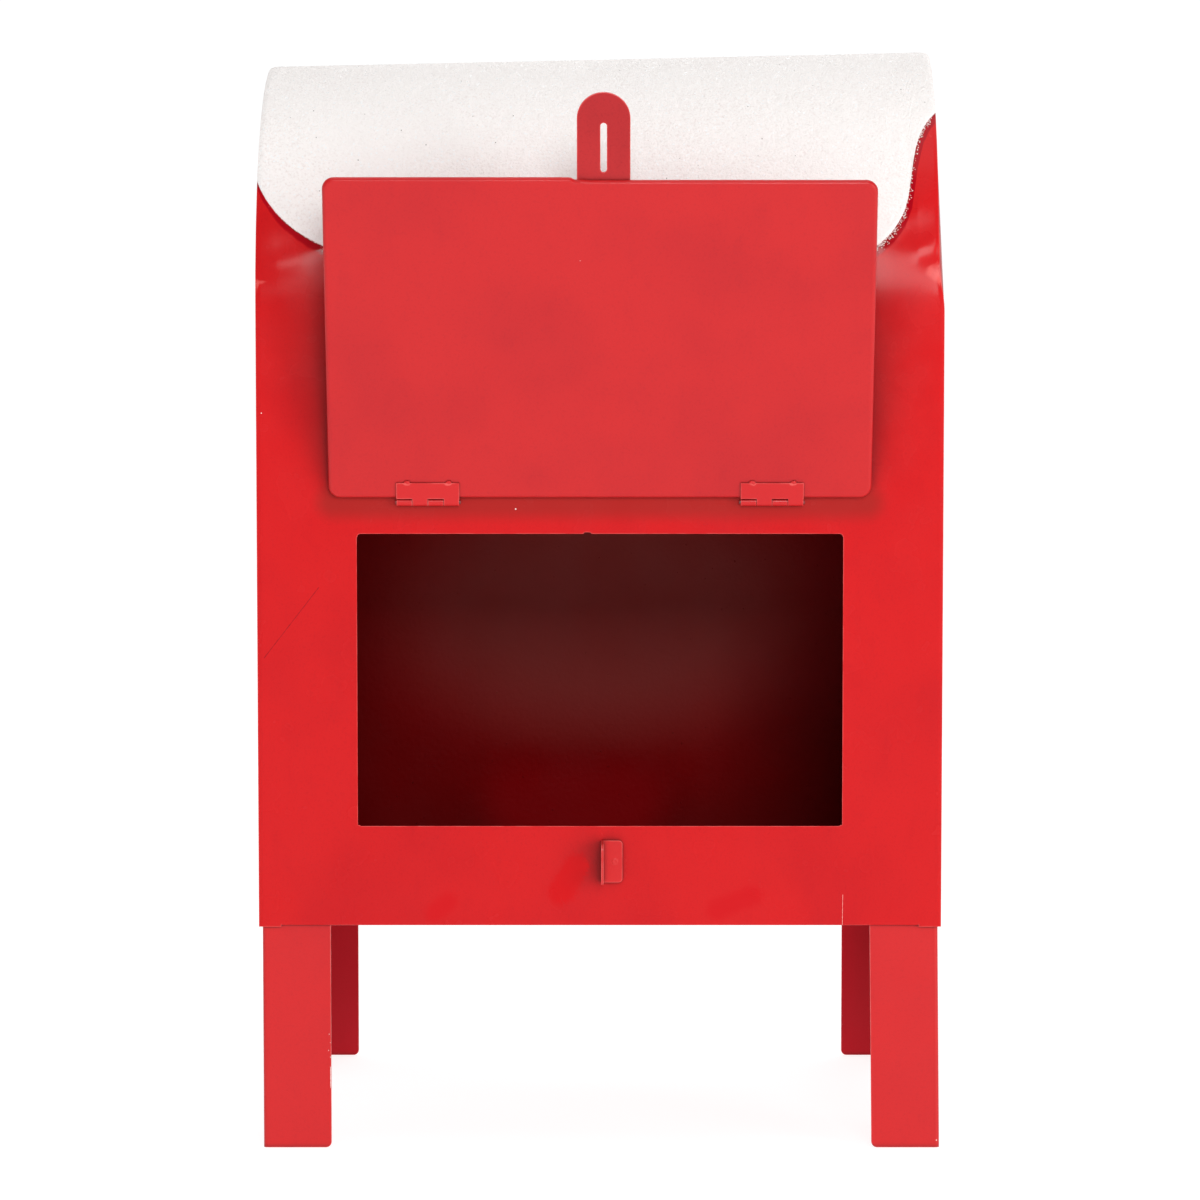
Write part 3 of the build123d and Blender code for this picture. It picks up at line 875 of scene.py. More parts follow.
    def _beaten(self, p: Vector) -> Vector:
        """Moves a point in or out for the sheet's waves and dents, and down where the roof has settled."""
        box = self.cabinet
        side = Side.BACK if p.y < box.middle else Side.FRONT
        from_end = min(p.x - box.left, box.right - p.x)
        free = ease(from_end, 2 * MM, 40 * MM) * ease(p.z, box.bottom + 10 * MM, box.bottom + 60 * MM)
        wave = noise.noise(p / self.wave_length)
        depth = -self.wave_depth * free * (0.5 + 0.5 * wave)
        depth += sum(dent.depth_at(p.x, p.z) for dent in self.dents if dent.side is side)
        depth -= self.end_curl * (1 - ease(from_end, 0, self.curl_reach))
        depth = max(depth, -self.deepest) if from_end < 15 * MM else depth
        return self.lean.settled(box, p + box.outward(p) * depth)


@dataclass
class BentCopy:
    """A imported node's own shape, bent a little out of true."""

    node: str
    bent: Shape

    def build(self, material: bpy.types.Material) -> bpy.types.Object:
        """Copies the node's shape, bends it and dresses it."""
        mesh = frame["nodes"][self.node].data.copy()
        piece = bpy.data.objects.new(f"{self.node}_bent", mesh)
        mesh.name = piece.name
        bpy.context.scene.collection.objects.link(piece)
        with editing(piece):
            bpy.ops.mesh.select_all(action="SELECT")
            bpy.ops.mesh.remove_doubles(threshold=SAME_LEVEL)
        move_points(piece, self.bent)
        smooth(piece)
        modify(piece, "WEIGHTED_NORMAL", keep_sharp=True, weight=100)
        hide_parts(self.node)
        dress(piece, CABINET, [material])
        return piece


@dataclass(frozen=True)
class Splay:
    """How a leg has been knocked outwards at the foot."""

    foot_shift: float = 1.6 * MM
    bend_z: float = 112 * MM

    def splayed(self, p: Vector) -> Vector:
        """Where a point of the straight leg really lies."""
        below = max(self.bend_z - p.z, 0.0) / self.bend_z
        return p + Vector((self.foot_shift * below, 0, 0))


# ---------------------------------------------------------------------------------------------------------
# Hinged plates
# ---------------------------------------------------------------------------------------------------------


@dataclass(frozen=True)
class Hanging:
    """Frame of a hinged plate: x across, y from its free edge up to the pin, z out of its outer face."""

    side: Side
    pin: Vector
    opened: float

    @classmethod
    def on(cls, joint_name: str, side: Side, rests_open: bool) -> "Hanging":
        """Reads a plate's frame from its joint."""
        joint = next(joint for joint in frame["joints"] if joint["name"] == joint_name)
        opened = math.radians(max(joint["range_deg"])) if rests_open else 0.0
        return cls(side, Vector(joint["pos_m"]), opened)

    def matrix(self) -> Matrix:
        """Takes a point of the plate's frame to the model's frame."""
        sign = self.side.value
        across = Vector((-sign, 0, 0))
        outward = Vector((0, sign * math.cos(self.opened), math.sin(self.opened)))
        up = outward.cross(across)
        turn = Matrix((across, up, outward)).transposed().to_4x4()
        return Matrix.Translation(self.pin) @ turn


@dataclass(frozen=True)
class Nick:
    """Small inward bend of a plate's free edge, past which the edge lies a little lower."""

    x: float
    reach: float
    depth: float
    step: float = 0.0


@dataclass
class RolledPlate:
    """Sheet with rounded corners and a rim turned outwards all round, hung from its pin."""

    name: str
    stands_for: str
    body: str
    hanging: Hanging
    width: float
    length: float
    cell: float = 5 * MM
    top: float = 2.3 * MM
    corner: float = 6 * MM
    inner_face: float = -1.1 * MM
    rim_bend: float = 2.0 * MM
    rim_depth: float = 2.6 * MM
    rim_steps: int = 5
    corner_cells: int = 4
    sheet: float = 0.8 * MM
    edge_bevel: float = 0.15 * MM
    wave_depth: float = 0.35 * MM
    wave_length: float = 60 * MM
    nick_height: float = 4 * MM
    step_height: float = 60 * MM
    nicks: tuple[Nick, ...] = ()

    def build(self, material: bpy.types.Material) -> bpy.types.Object:
        """Models the plate and dresses it."""
        piece = self._flat_face()
        self._turn_rim(piece)
        with editing(piece):
            bpy.ops.mesh.select_all(action="SELECT")
            bpy.ops.mesh.flip_normals()
        move_points(piece, self._beat)
        modify(piece, "SOLIDIFY", thickness=self.sheet, offset=-1.0, use_even_offset=True)
        modify(piece, "BEVEL", width=self.edge_bevel, segments=2, limit_method="ANGLE",
               angle_limit=BEVEL_ANGLE)
        piece.data.transform(self.hanging.matrix())
        smooth(piece)
        modify(piece, "WEIGHTED_NORMAL", keep_sharp=True)
        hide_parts(self.stands_for)
        dress(piece, self.body, [material])
        return piece

    @property
    def _flat_half(self) -> Vector:
        """Half the size of the flat face, inside the rim's bend."""
        return Vector((self.width / 2 - self.rim_bend, (self.length - self.top) / 2 - self.rim_bend, 0))

    @property
    def _centre_y(self) -> float:
        """Y of the plate's middle, below the pin."""
        return -(self.top + self.length) / 2

    def _spaced(self, share: float, cells: int, half: float) -> float:
        """Place across the face of a grid line: close together in the corners, and even between them."""
        radius = self.corner - self.rim_bend
        few = self.corner_cells
        number = round((share + 0.5) * cells)
        from_end = min(number, cells - number)
        if from_end <= few:
            away = radius * from_end / few
        else:
            away = radius + 2 * (half - radius) * (from_end - few) / (cells - 2 * few)
        place = half - away
        return place if number > cells / 2 else -place

    def _flat_face(self) -> bpy.types.Object:
        """The flat inner face, with rounded corners and lines to bend its nicks along."""
        half = self._flat_half
        radius = self.corner - self.rim_bend
        columns = round(2 * half.x / self.cell) + 2 * self.corner_cells
        rows = round(2 * half.y / self.cell) + 2 * self.corner_cells
        piece = new_grid(self.name, columns, rows)
        move_points(piece, lambda p: Vector((self._spaced(p.x, columns, half.x),
                                             self._spaced(p.y, rows, half.y), 0)))
        for nick in self.nicks:
            for step in (-1.6, -1.0, -0.5, 0.0, 0.5, 1.0, 1.6):
                cut(piece, (nick.x + step * nick.reach, 0, 0), (1, 0, 0))

        def rounded(p: Vector) -> Vector:
            u, v = (abs(p.x) - half.x + radius) / radius, (abs(p.y) - half.y + radius) / radius
            x = half.x - radius + radius * u * math.sqrt(1 - v * v / 2)
            y = half.y - radius + radius * v * math.sqrt(1 - u * u / 2)
            return Vector((math.copysign(x, p.x), math.copysign(y, p.y), 0))

        move_points(piece, rounded, lambda p: abs(p.x) > half.x - radius and abs(p.y) > half.y - radius)
        move_points(piece, lambda p: Vector((p.x, p.y + self._centre_y, self.inner_face)))
        return piece

    def _away(self, p: Vector) -> Vector:
        """Direction out of the plate's outline at a point on its rim."""
        half = self._flat_half
        radius = self.corner - self.rim_bend
        y = p.y - self._centre_y
        nearest_x = min(max(p.x, radius - half.x), half.x - radius)
        nearest_y = min(max(y, radius - half.y), half.y - radius)
        return Vector((p.x - nearest_x, y - nearest_y, 0)).normalized()

    def _turn_rim(self, piece: bpy.types.Object) -> None:
        """Turns the rim outwards round its bend."""
        select_border(piece, lambda p: True)
        bend = math.pi / 2 / self.rim_steps
        moves = [(self.rim_bend * (math.sin(bend * (step + 1)) - math.sin(bend * step)),
                  self.rim_bend * (math.cos(bend * step) - math.cos(bend * (step + 1))))
                 for step in range(self.rim_steps)]
        moves.append((0.0, self.rim_depth - self.rim_bend))
        for out, rise in moves:
            extrude_border(piece, Vector((0, 0, 0)))
            for vertex in piece.data.vertices:
                if vertex.select:
                    vertex.co += self._away(vertex.co) * out + Vector((0, 0, rise))

    def _beat(self, p: Vector) -> Vector:
        """Adds the sheet's waves, away from the hinges and latch, and its nicks."""
        from_side = self.width / 2 - abs(p.x)
        below, above = p.y + self.length, -p.y
        free = ease(from_side, 6 * MM, 30 * MM)
        free *= ease(below, 14 * MM, 34 * MM) * ease(above, 14 * MM, 34 * MM)
        wave = 0.5 + 0.5 * noise.noise(Vector((p.x, p.y, 0.3)) / self.wave_length)
        moved = p + Vector((0, 0, self.wave_depth * free * wave))
        for nick in self.nicks:
            share = math.exp(-((p.x - nick.x) / nick.reach) ** 2) * (1 - ease(below, 0, self.nick_height))
            past = ease(p.x, nick.x - nick.reach, nick.x + 3 * nick.reach)
            lower = nick.step * past * (1 - ease(below, 0, self.step_height))
            moved += Vector((0, nick.depth * share + lower, 0.5 * nick.depth * share))
        return moved


# ---------------------------------------------------------------------------------------------------------
# Snow
# ---------------------------------------------------------------------------------------------------------


@dataclass
class SnowCrust:
    """The thick snow paint on the roof: a lumpy skin inside the CAD coat's outline, and loose grains."""

    cabinet: Cabinet
    lean: Lean
    edge: SnowEdge
    columns: int = 222
    rows: int = 214
    lift: float = 0.06 * MM
    thickness: float = 0.95 * MM
    lump: float = 0.22 * MM
    lump_length: float = 3.2 * MM
    drift: float = 0.16 * MM
    drift_length: float = 26 * MM
    edge_roll: float = 2.2 * MM
    end_margin: float = 0.1 * MM
    edge_wander: float = 0.5 * MM
    grains: int = 620
    grain_spread: float = 1.5 * MM
    back_share: float = 0.7
    right_share: float = 0.8
    seed: int = 7

    def build(self, paste: bpy.types.Material, loose: bpy.types.Material) -> None:
        """Models the crust and the grains, and dresses them.

        Args:
            paste: the crust's finish.
            loose: the grains' finish.
        """
        piece = new_grid("snow_crust", self.columns, self.rows)
        move_points(piece, self._laid)
        modify(piece, "SOLIDIFY", thickness=self.thickness, offset=-1.0)
        floor = self.cabinet.radius + self.lift
        move_points(piece, lambda p: self._at_radius(p, max(self.cabinet.from_axis(p), floor)))
        self.edge.measure(piece)
        move_points(piece, lambda p: self.lean.settled(self.cabinet, p))
        smooth(piece)
        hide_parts("snow_coat")
        dress(piece, CABINET, [paste])
        dress(self._strewn_grains(), CABINET, [loose])

    def _at_radius(self, p: Vector, radius: float) -> Vector:
        """The point moved straight out or in to a radius."""
        box = self.cabinet
        scale = radius / max(self.cabinet.from_axis(p), 1e-9)
        return Vector((p.x, box.middle + (p.y - box.middle) * scale, box.spring + (p.z - box.spring) * scale))

    def _edge_at(self, side: Side, x: float) -> float:
        """The lower edge's angle at any x, with a little wander."""
        wander = noise.noise(Vector((x / (5 * MM), side.value * 9.0, 0))) * self.edge_wander
        return self.edge.angle_at(side, x) + (abs(wander) + 0.05 * MM) / self.cabinet.radius

    def _laid(self, p: Vector) -> Vector:
        """Where a point of the flat grid lies on the crust's outer face."""
        box = self.cabinet
        x = box.left + self.end_margin + (p.x + 0.5) * (box.right - box.left - 2 * self.end_margin)
        back, front = self._edge_at(Side.BACK, x), math.pi - self._edge_at(Side.FRONT, x)
        angle = back + (front - back) * (p.y + 0.5)
        place = box.on_roof(x, angle, box.radius)
        from_edge = min((angle - back) * box.radius, (front - angle) * box.radius,
                        x - box.left, box.right - x)
        roll = math.sqrt(ease(from_edge, -0.2 * MM, self.edge_roll))
        lumps = self.lump * noise.noise(place / self.lump_length)
        lumps += 0.5 * self.lump * noise.noise(place / (0.45 * self.lump_length))
        drifts = self.drift * noise.noise(place / self.drift_length)
        height = roll * (self.thickness + lumps + drifts) + self.lift
        return self._at_radius(place, box.radius + max(height, self.lift))

    def _strewn_grains(self) -> bpy.types.Object:
        """Loose grains of snow stuck to the paint just outside the crust's edge, most at the back's right."""
        deselect_everything()
        bpy.ops.mesh.primitive_ico_sphere_add(subdivisions=1, radius=0.5)
        grain = bpy.context.object
        chance = random.Random(self.seed)
        move_points(grain, lambda p: p * chance.uniform(0.75, 1.2))
        box = self.cabinet
        places = []
        for _ in range(self.grains):
            side = Side.BACK if chance.random() < self.back_share else Side.FRONT
            at_right = chance.random() < self.right_share and side is Side.BACK
            x = chance.uniform(0.78 if at_right else -0.99, 0.985) * box.right
            away = abs(chance.gauss(0, self.grain_spread)) - 0.3 * MM
            angle = self._edge_at(side, x) - away / box.radius
            slope_x = chance.gauss(0, 0.8 * MM)
            size = chance.uniform(0.35, 0.85) * MM * (1 if away < 3 * MM else 0.7)
            turned = angle if side is Side.BACK else math.pi - angle
            at = box.on_roof(min(x + slope_x, box.right - MM), turned, box.radius + 0.22 * size)
            at = self.lean.settled(box, at)
            turn = chance.uniform(0, math.tau)
            spin = Matrix.Rotation(turn, 4, Vector((1, chance.random(), chance.random())))
            places.append(Matrix.Translation(at) @ spin @ Matrix.Scale(size, 4))
        return copies("snow_grains", grain, places)


# ---------------------------------------------------------------------------------------------------------
# Welds
# ---------------------------------------------------------------------------------------------------------


@dataclass
class Welds:
    """Small tack welds that hold the hinge leaves, and pressed spot welds on the flat straps."""

    door: Hanging
    flap: Hanging
    leaf_end: float = 10.8 * MM
    tack_offset: float = 10.5 * MM
    seed: int = 11

    def build(self, material: bpy.types.Material) -> None:
        """Models every weld and dresses them, one piece for each body."""
        shut_door = Hanging(self.door.side, self.door.pin, 0.0)
        wall_places = [*self._leaf_tacks("door_hinge_wall_leaf", shut_door, 1),
                       *self._leaf_tacks("flap_hinge_wall_leaf", self.flap, 1)]
        door_places = self._leaf_tacks("door_hinge_leaf", self.door, -1)
        flap_places = self._leaf_tacks("flap_hinge_leaf", self.flap, -1)
        for name, body, weld, places in (
                ("tacks_on_wall", CABINET, self._tack, wall_places),
                ("tacks_on_door", ACCESS_DOOR, self._tack, door_places),
                ("tacks_on_flap", LETTER_FLAP, self._tack, flap_places),
                ("spot_welds_on_staple", CABINET, self._spot, self._staple_spots()),
                ("spot_welds_on_strap", ACCESS_DOOR, self._spot, self._strap_spots()),
                ("spot_welds_on_pull", LETTER_FLAP, self._spot, self._pull_spots())):
            dress(copies(name, weld(), places), body, [material])

    def _tack(self) -> bpy.types.Object:
        """An uneven bead of weld about 3 mm long, round the origin."""
        deselect_everything()
        bpy.ops.mesh.primitive_uv_sphere_add(segments=14, ring_count=9, radius=1.0)
        bead = bpy.context.object
        bpy.ops.transform.resize(value=(1.9 * MM, 1.1 * MM, 0.55 * MM))
        bpy.ops.object.transform_apply(location=False, rotation=False, scale=True)
        move_points(bead, lambda p: p * (1 + 0.35 * noise.noise(p * 900)))
        return bead

    def _spot(self) -> bpy.types.Object:
        """A pressed spot weld: a low ring with a sunk middle, facing +z."""
        deselect_everything()
        bpy.ops.mesh.primitive_circle_add(vertices=20, radius=1.7 * MM, fill_type="NGON")
        spot = bpy.context.object
        with editing(spot):
            bpy.ops.mesh.select_all(action="SELECT")
            for thickness, rise in ((0.35, 0.16), (0.35, 0.05), (0.4, -0.12)):
                bpy.ops.mesh.inset(thickness=thickness * MM, depth=rise * MM)
            bpy.ops.mesh.select_all(action="SELECT")
            bpy.ops.mesh.normals_make_consistent(inside=False)
        modify(spot, "SOLIDIFY", thickness=0.25 * MM, offset=-1.0)
        return spot

    def _leaf_tacks(self, leaf: str, hanging: Hanging, up: int) -> Iterator[Matrix]:
        """Two tacks at the free edge of each of a pair of hinge leaves.

        Args:
            leaf: the leaves' name without left or right.
            hanging: the frame that the leaves lie in.
            up: 1 for the leaf on the wall, above the pin, and -1 for the plate's, below it.
        """
        frame_matrix = hanging.matrix()
        to_frame = frame_matrix.inverted()
        chance = random.Random(self.seed + up)
        depth = -1.75 * MM if up > 0 else -1.55 * MM
        for column in ("left", "right"):
            low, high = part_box(f"{leaf}_{column}")
            middle = (to_frame @ ((low + high) / 2)).x
            for side in (-1, 1):
                x = middle + side * self.tack_offset + chance.uniform(-1, 1) * MM
                y = up * (self.leaf_end + 0.1 * MM)
                turn = Matrix.Rotation(chance.uniform(-0.35, 0.35), 4, "Z")
                yield frame_matrix @ Matrix.Translation((x, y, depth)) @ turn

    def _staple_spots(self) -> Iterator[Matrix]:
        """One spot weld on the staple's foot."""
        low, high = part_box("padlock_staple")
        face_y = high.y - 1.2 * MM
        turn = Matrix.Rotation(math.radians(90), 4, "X")
        yield Matrix.Translation((high.x - 3.9 * MM, face_y - 0.02 * MM, (low.z + high.z) / 2)) @ turn

    def _strap_spots(self) -> Iterator[Matrix]:
        """Two spot welds on the strap's lap, on the door's outer face."""
        low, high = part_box("hasp_strap")
        middle = (self.door.matrix().inverted() @ ((low + high) / 2)).x
        for below in (150.5, 160.0):
            yield self.door.matrix() @ Matrix.Translation((middle, -below * MM, 1.02 * MM))

    def _pull_spots(self) -> Iterator[Matrix]:
        """Two spot welds on the foot of the flap's finger pull."""
        for x in (-20 * MM, 20 * MM):
            yield self.flap.matrix() @ Matrix.Translation((x, -40.6 * MM, 0.62 * MM))


# ---------------------------------------------------------------------------------------------------------
# Studio
# ---------------------------------------------------------------------------------------------------------


@dataclass(frozen=True)
class SoftLight:
    """Square softbox that points at the box's middle."""

    name: str
    place: tuple[float, float, float]
    size: float
    power: float
    tint: Colour = (1.0, 1.0, 1.0)

    def hang(self, target: Vector) -> None:
        """Makes the light."""
        data = bpy.data.lights.new(self.name, "AREA")
        data.shape = "SQUARE"
        data.size = self.size
        data.energy = self.power
        data.color = self.tint
        light = bpy.data.objects.new(self.name, data)
        bpy.context.scene.collection.objects.link(light)
        light.location = self.place
        light.rotation_euler = (target - Vector(self.place)).to_track_quat("-Z", "Y").to_euler()


@dataclass
class Studio:
    """White paper sweep, soft lights and the camera."""

    cabinet: Cabinet
    lens: float = 136.4
    distance: float = 2.312
    eye_height: float = 0.4685
    aim_height: float = 0.2832
    sweep_half: float = 8.0
    sweep_back: float = 5.0
    sweep_radius: float = 1.5
    lights: tuple[SoftLight, ...] = (
        SoftLight("front", (0.30, -3.0, 1.45), 1.0, 33.0),
        SoftLight("right", (2.2, -2.0, 0.65), 1.2, 25.0),
        SoftLight("high", (0.7, -2.6, 2.2), 0.45, 4.5),
        SoftLight("left", (-2.2, -2.0, 0.65), 1.2, 1.0),
        SoftLight("overhead", (0.0, -0.1, 2.4), 1.8, 14.0),
        SoftLight("rear", (0.4, 2.0, 1.6), 1.4, 8.0),
    )
    ambient: float = 0.26

    def build(self) -> None:
        """Makes the studio."""
        self._sweep()
        target = Vector((0, self.cabinet.middle, 0.3))
        for light in self.lights:
            light.hang(target)
        self._sky()
        self._camera()
        bpy.context.scene.view_settings.view_transform = "Standard"

    def _sweep(self) -> None:
        """Floor that curves up into a backdrop behind the box."""
        deselect_everything()
        bpy.ops.mesh.primitive_plane_add(size=2 * self.sweep_half)
        paper = bpy.context.object
        paper.name = paper.data.name = "paper_sweep"
        move_points(paper, lambda p: Vector((p.x, min(p.y, self.sweep_back), 0)))
        select_border(paper, lambda p: p.y > self.sweep_back - MM)
        extrude_border(paper, Vector((0, 0, self.sweep_half)))
        select(paper, Part.EDGE, lambda p: p.y > self.sweep_back - MM and p.z < MM)
        with editing(paper, Part.EDGE):
            bpy.ops.mesh.bevel(offset=self.sweep_radius, segments=24, affect="EDGES")
        smooth(paper)
        paper.data.materials.append(StudioPaper("studio_paper").build())

    def _sky(self) -> None:
        """Even pale light from everywhere else, and plain white where nothing stands behind the box."""
        world = bpy.data.worlds.new("studio_air")
        world.use_nodes = True
        tree = world.node_tree
        air = tree.nodes["Background"]
        air.inputs["Strength"].default_value = self.ambient
        paper = tree.nodes.new("ShaderNodeBackground")
        seen = tree.nodes.new("ShaderNodeLightPath").outputs["Is Camera Ray"]
        either = tree.nodes.new("ShaderNodeMixShader")
        for background in (air, paper):
            background.inputs["Color"].default_value = (1.0, 1.0, 1.0, 1.0)
        tree.links.new(seen, either.inputs[0])
        tree.links.new(air.outputs[0], either.inputs[1])
        tree.links.new(paper.outputs[0], either.inputs[2])
        tree.links.new(either.outputs[0], tree.nodes["World Output"].inputs["Surface"])
        bpy.context.scene.world = world

    def _camera(self) -> None:
        """Long lens, a little above the box's middle, square to the access door's side."""
        data = bpy.data.cameras.new("camera")
        data.lens = self.lens
        data.sensor_width = 36.0
        data.dof.use_dof = False
        camera = bpy.data.objects.new("camera", data)
        bpy.context.scene.collection.objects.link(camera)
        camera.location = (0.0, self.cabinet.back - self.distance, self.eye_height)
        drop = math.atan((self.eye_height - self.aim_height) / self.distance)
        camera.rotation_euler = (math.pi / 2 - drop, 0.0, 0.0)
        bpy.context.scene.camera = camera


# ---------------------------------------------------------------------------------------------------------
# Putting it together
# ---------------------------------------------------------------------------------------------------------

RED = (0.62, 0.009, 0.011)
DOOR_RED = (0.57, 0.009, 0.011)
DEEP_RED = (0.47, 0.005, 0.010)
OXIDE_RED = (0.42, 0.0006, 0.0030)
BARE_WHITE = (0.90, 0.82, 0.78)

OPENING_WIDTH = 248 * MM
PLATE_WIDTH = 276 * MM
DOOR_LENGTH = 170.6 * MM
FLAP_LENGTH = 53.7 * MM
HOLES = (
    Hole(Side.BACK, OPENING_WIDTH, 167 * MM, 317 * MM, nick_x=-6.4 * MM),
    Hole(Side.FRONT, OPENING_WIDTH, 364.3 * MM, 396.3 * MM),
)
DENTS = (
    Dent(Side.BACK, -0.163, 0.453, 18 * MM, 5 * MM, 1.1 * MM, 0.40),
    Dent(Side.BACK, -0.172, 0.446, 9 * MM, 3.5 * MM, -0.9 * MM, 0.30),
    Dent(Side.BACK, -0.168, 0.473, 5 * MM, 18 * MM, 0.5 * MM, 0.15),
    Dent(Side.BACK, 0.165, 0.481, 5 * MM, 11 * MM, 1.0 * MM, -0.25),
    Dent(Side.BACK, 0.170, 0.463, 13 * MM, 4.5 * MM, 1.2 * MM, 0.55),
    Dent(Side.BACK, 0.160, 0.472, 12 * MM, 3.5 * MM, -0.6 * MM, 0.60),
    Dent(Side.BACK, 0.173, 0.450, 6 * MM, 5 * MM, -0.8 * MM, 0.0),
)


def speck(x: float, z: float, width: float, y_range: tuple[float, float]) -> Mark:
    """A round chip down to the pale ground."""
    return Mark((x, z), (x, z), width, BARE_WHITE, y_range)


def wall_marks(box: Cabinet) -> tuple[Mark, ...]:
    """The painted shade under the door, the scratches, the specks and the soft patches on the back wall."""
    outside = (box.back - 3 * MM, box.back + 0.4 * MM)
    shade_under_door = (0.40, 0.014, 0.012)
    dark = (0.30, 0.004, 0.008)
    pale = (0.90, 0.40, 0.36)
    patch = (0.60, 0.0035, 0.007)
    deep_patch = (0.60, 0.0015, 0.004)
    return (
        # Painted shade: a soft dark band on the wall just under the door's hinge line.
        Mark((-0.136, 0.333), (0.136, 0.333), 11 * MM, shade_under_door, outside, 0.15, (0.25, 1.25)),
        Mark((-0.1715, 0.2535), (-0.1435, 0.2895), 0.35 * MM, dark, outside),
        Mark((0.1243, 0.1155), (0.1245, 0.1315), 0.22 * MM, pale, outside),
        speck(-0.0429, 0.3297, 0.75 * MM, outside),
        speck(-0.1722, 0.3785, 0.6 * MM, outside),
        Mark((-0.020, 0.133), (-0.012, 0.146), 13 * MM, deep_patch, outside, 0.5, (0.6, 0.9)),
        Mark((0.060, 0.124), (0.078, 0.131), 10 * MM, patch, outside, 0.5, (0.5, 1.0)),
        Mark((-0.085, 0.122), (-0.078, 0.128), 9 * MM, patch, outside, 0.5, (0.5, 1.0)),
    )


def leg_marks() -> tuple[Mark, ...]:
    """The chips on the near legs' outer faces."""
    outside = (-112 * MM, -108.9 * MM)
    edge = -138.7 * MM
    line = Mark((edge, 31 * MM), (edge, 42 * MM), 0.28 * MM, BARE_WHITE, outside)
    dots = tuple(speck(x, z, width * MM, outside)
                 for x, z, width in ((edge, 0.047, 0.4), (-0.1396, 0.0505, 0.35), (edge, 0.0545, 0.3),
                                     (-0.1393, 0.059, 0.35), (0.1735, 0.0038, 0.7), (0.1745, 0.0805, 0.4)))
    return (line, *dots)


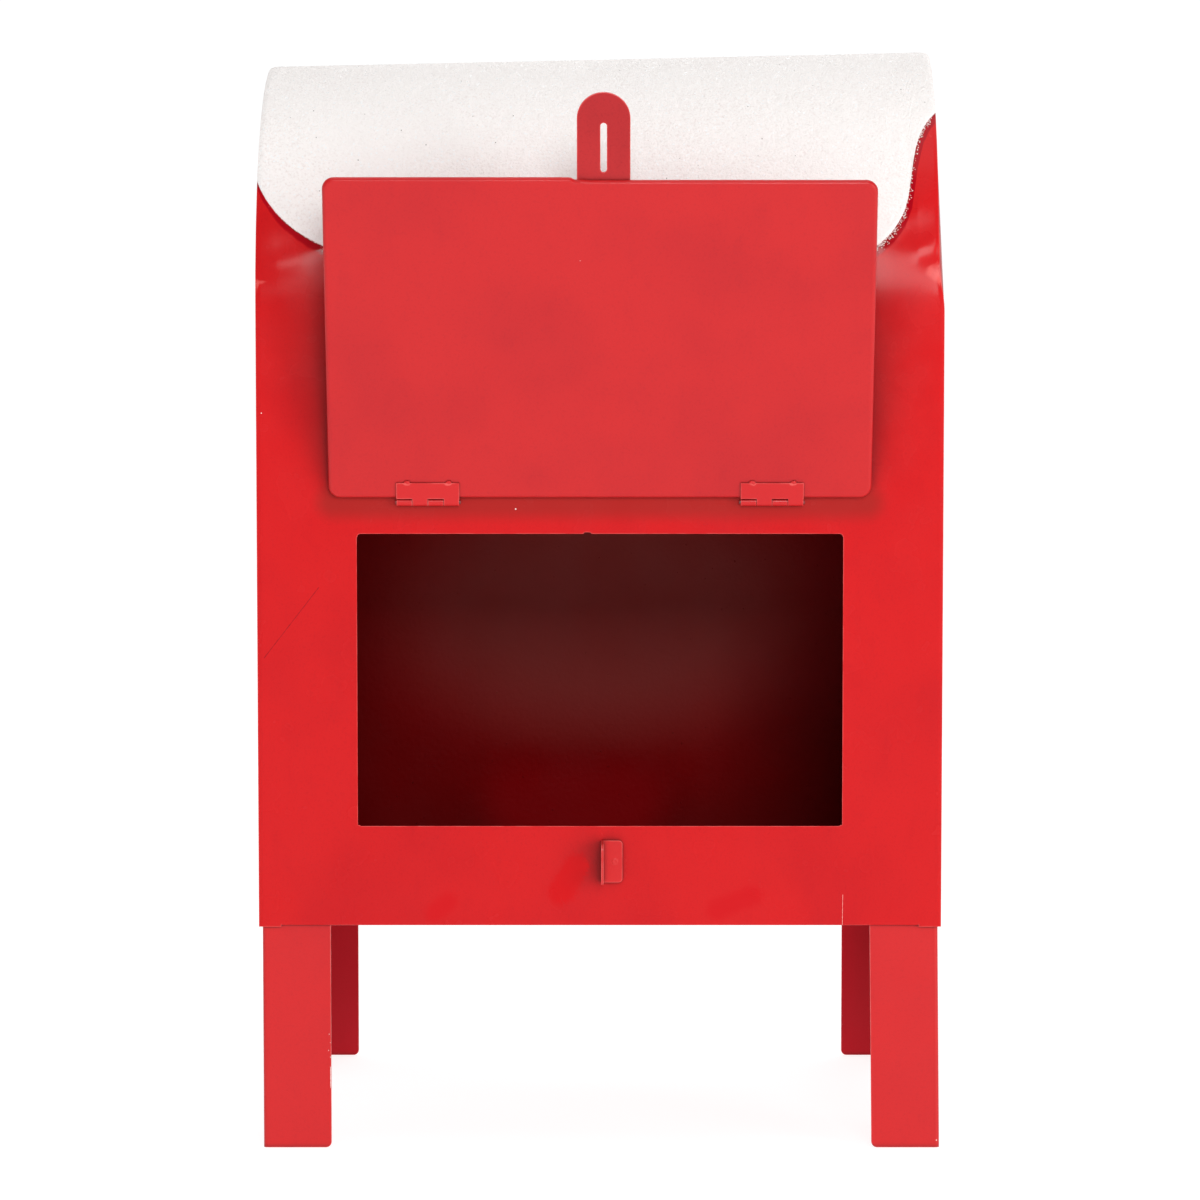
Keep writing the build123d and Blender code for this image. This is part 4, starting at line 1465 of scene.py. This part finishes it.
def finishes(box: Cabinet) -> dict[str, bpy.types.Material]:
    """Makes every finish of the box, by name."""
    inner_face = (box.front - 4 * MM, box.front - 0.1 * MM)
    # Painted reflection: a saturated patch low on the front wall's inner face.
    painted_reflection_patch = Mark((-0.040, 0.148), (0.012, 0.148), 34 * MM, (0.31, 0.0005, 0.003), inner_face, 0.1,
                       (0.35, 1.15))
    recipes = (
        # The wall's wide reach paints shade beside and under the door.
        Enamel("wall_enamel", RED, DEEP_RED, roughness=(0.17, 0.30), gloss=0.15, coat=0.02,
               painted_shade_reach=50 * MM, painted_shade_tone=(0.24, 0.006, 0.008), painted_shade_depth=0.85,
               painted_shade_range=(0.52, 1.0), marks=wall_marks(box), snow_run_and_shadow=True),
        # Inside, the wide reach paints shade towards the interior's corners.
        Enamel("inner_enamel", OXIDE_RED, (0.34, 0.0005, 0.002), roughness=(0.30, 0.45), gloss=0.07,
               peel=0.16 * MM, nibs=0.8 * MM, nib_grain=6 * MM, coat=0.0, painted_shade_reach=120 * MM,
               painted_shade_tone=(0.10, 0.0002, 0.0008), painted_shade_depth=0.75, painted_shade_range=(0.50, 0.97),
               edge_wear_and_highlight=0.0, painted_sheen_tone=(0.44, 0.055, 0.048), marks=(painted_reflection_patch,)),
        Enamel("enamel", RED, DEEP_RED, unevenness=0.22),
        # The door's pale edge tone paints the highlight along its rim.
        Enamel("door_enamel", DOOR_RED, DEEP_RED, unevenness=0.5, edge_wear_and_highlight_tone=(0.88, 0.22, 0.19),
               marks=(speck(-0.0099, 0.456, 0.35 * MM, (-0.165, -0.11)),)),
        # The legs' inner faces get painted shade under the box.
        Enamel("leg_enamel", RED, DEEP_RED, unevenness=0.3, thin_paint_and_shade_half=(172.7 * MM, 132.6 * MM, 1),
               marks=leg_marks()),
        Enamel("shade_enamel", (0.48, 0.002, 0.012), (0.38, 0.002, 0.008), gloss=0.13),
        Enamel("strap_enamel", (0.47, 0.010, 0.013), (0.36, 0.004, 0.008), unevenness=0.6),
        Enamel("panel_enamel", RED, DEEP_RED, thin_paint_and_shade_half=(174.6 * MM, 1, 1), thin_paint_and_shade_tone=OXIDE_RED),
        Enamel("weld_enamel", RED, DEEP_RED, unevenness=0.22, edge_wear_and_highlight=0.15),
        PinSteel("pin_steel"),
        SnowPaste("snow_paste"),
        SnowPaste("loose_snow", rim_tone=(0.96, 0.76, 0.74)),
    )
    return {recipe.name: recipe.build() for recipe in recipes}


def dress_cad_nodes(usual: bpy.types.Material, special: dict[str, bpy.types.Material]) -> None:
    """Gives each CAD node its finish.

    Args:
        usual: the finish of most nodes.
        special: another finish, for each part of a node's name that asks for it.
    """
    for name, node in frame["nodes"].items():
        material = next((finish for part, finish in special.items() if part in name), usual)
        fill_slots(node, [material] * max(len(node.data.materials), 1))


def main() -> None:
    """Builds each sub-assembly in order."""
    logging.basicConfig(level=logging.INFO, format="%(name)s: %(message)s")
    box = Cabinet.measured()
    lean = Lean()
    snow_edge = SnowEdge(box)
    door = Hanging.on("access_door_hinge", Side.BACK, rests_open=True)
    flap = Hanging.on("letter_flap_hinge", Side.FRONT, rests_open=False)

    looks = finishes(box)
    enamel, leg_enamel, panel_enamel = looks["enamel"], looks["leg_enamel"], looks["panel_enamel"]
    dress_cad_nodes(enamel, {"_hinge_pin_": looks["pin_steel"], "hasp_strap": looks["strap_enamel"],
                             "leg_front": looks["shade_enamel"], "leg_": leg_enamel,
                             "side_panel": panel_enamel, "floor_pan": looks["inner_enamel"]})
    WrapSheet(box, lean, snow_edge, HOLES, DENTS).build([looks["wall_enamel"], looks["inner_enamel"]])
    for node in ("side_panel_left", "side_panel_right"):
        BentCopy(node, lambda p: lean.settled(box, p)).build(panel_enamel)
    BentCopy("leg_rear_right", Splay().splayed).build(leg_enamel)
    RolledPlate("access_door_skin", "access_door_panel", ACCESS_DOOR, door, PLATE_WIDTH, DOOR_LENGTH,
                nicks=(Nick(-12.4 * MM, 1.9 * MM, 1.1 * MM, 1.4 * MM),)).build(looks["door_enamel"])
    RolledPlate("letter_flap_skin", "letter_flap_panel", LETTER_FLAP, flap, PLATE_WIDTH, FLAP_LENGTH,
                wave_depth=0.0).build(enamel)
    SnowCrust(box, lean, snow_edge).build(looks["snow_paste"], looks["loose_snow"])
    Welds(door, flap).build(looks["weld_enamel"])
    Studio(box).build()


if __name__ == "__main__":
    main()
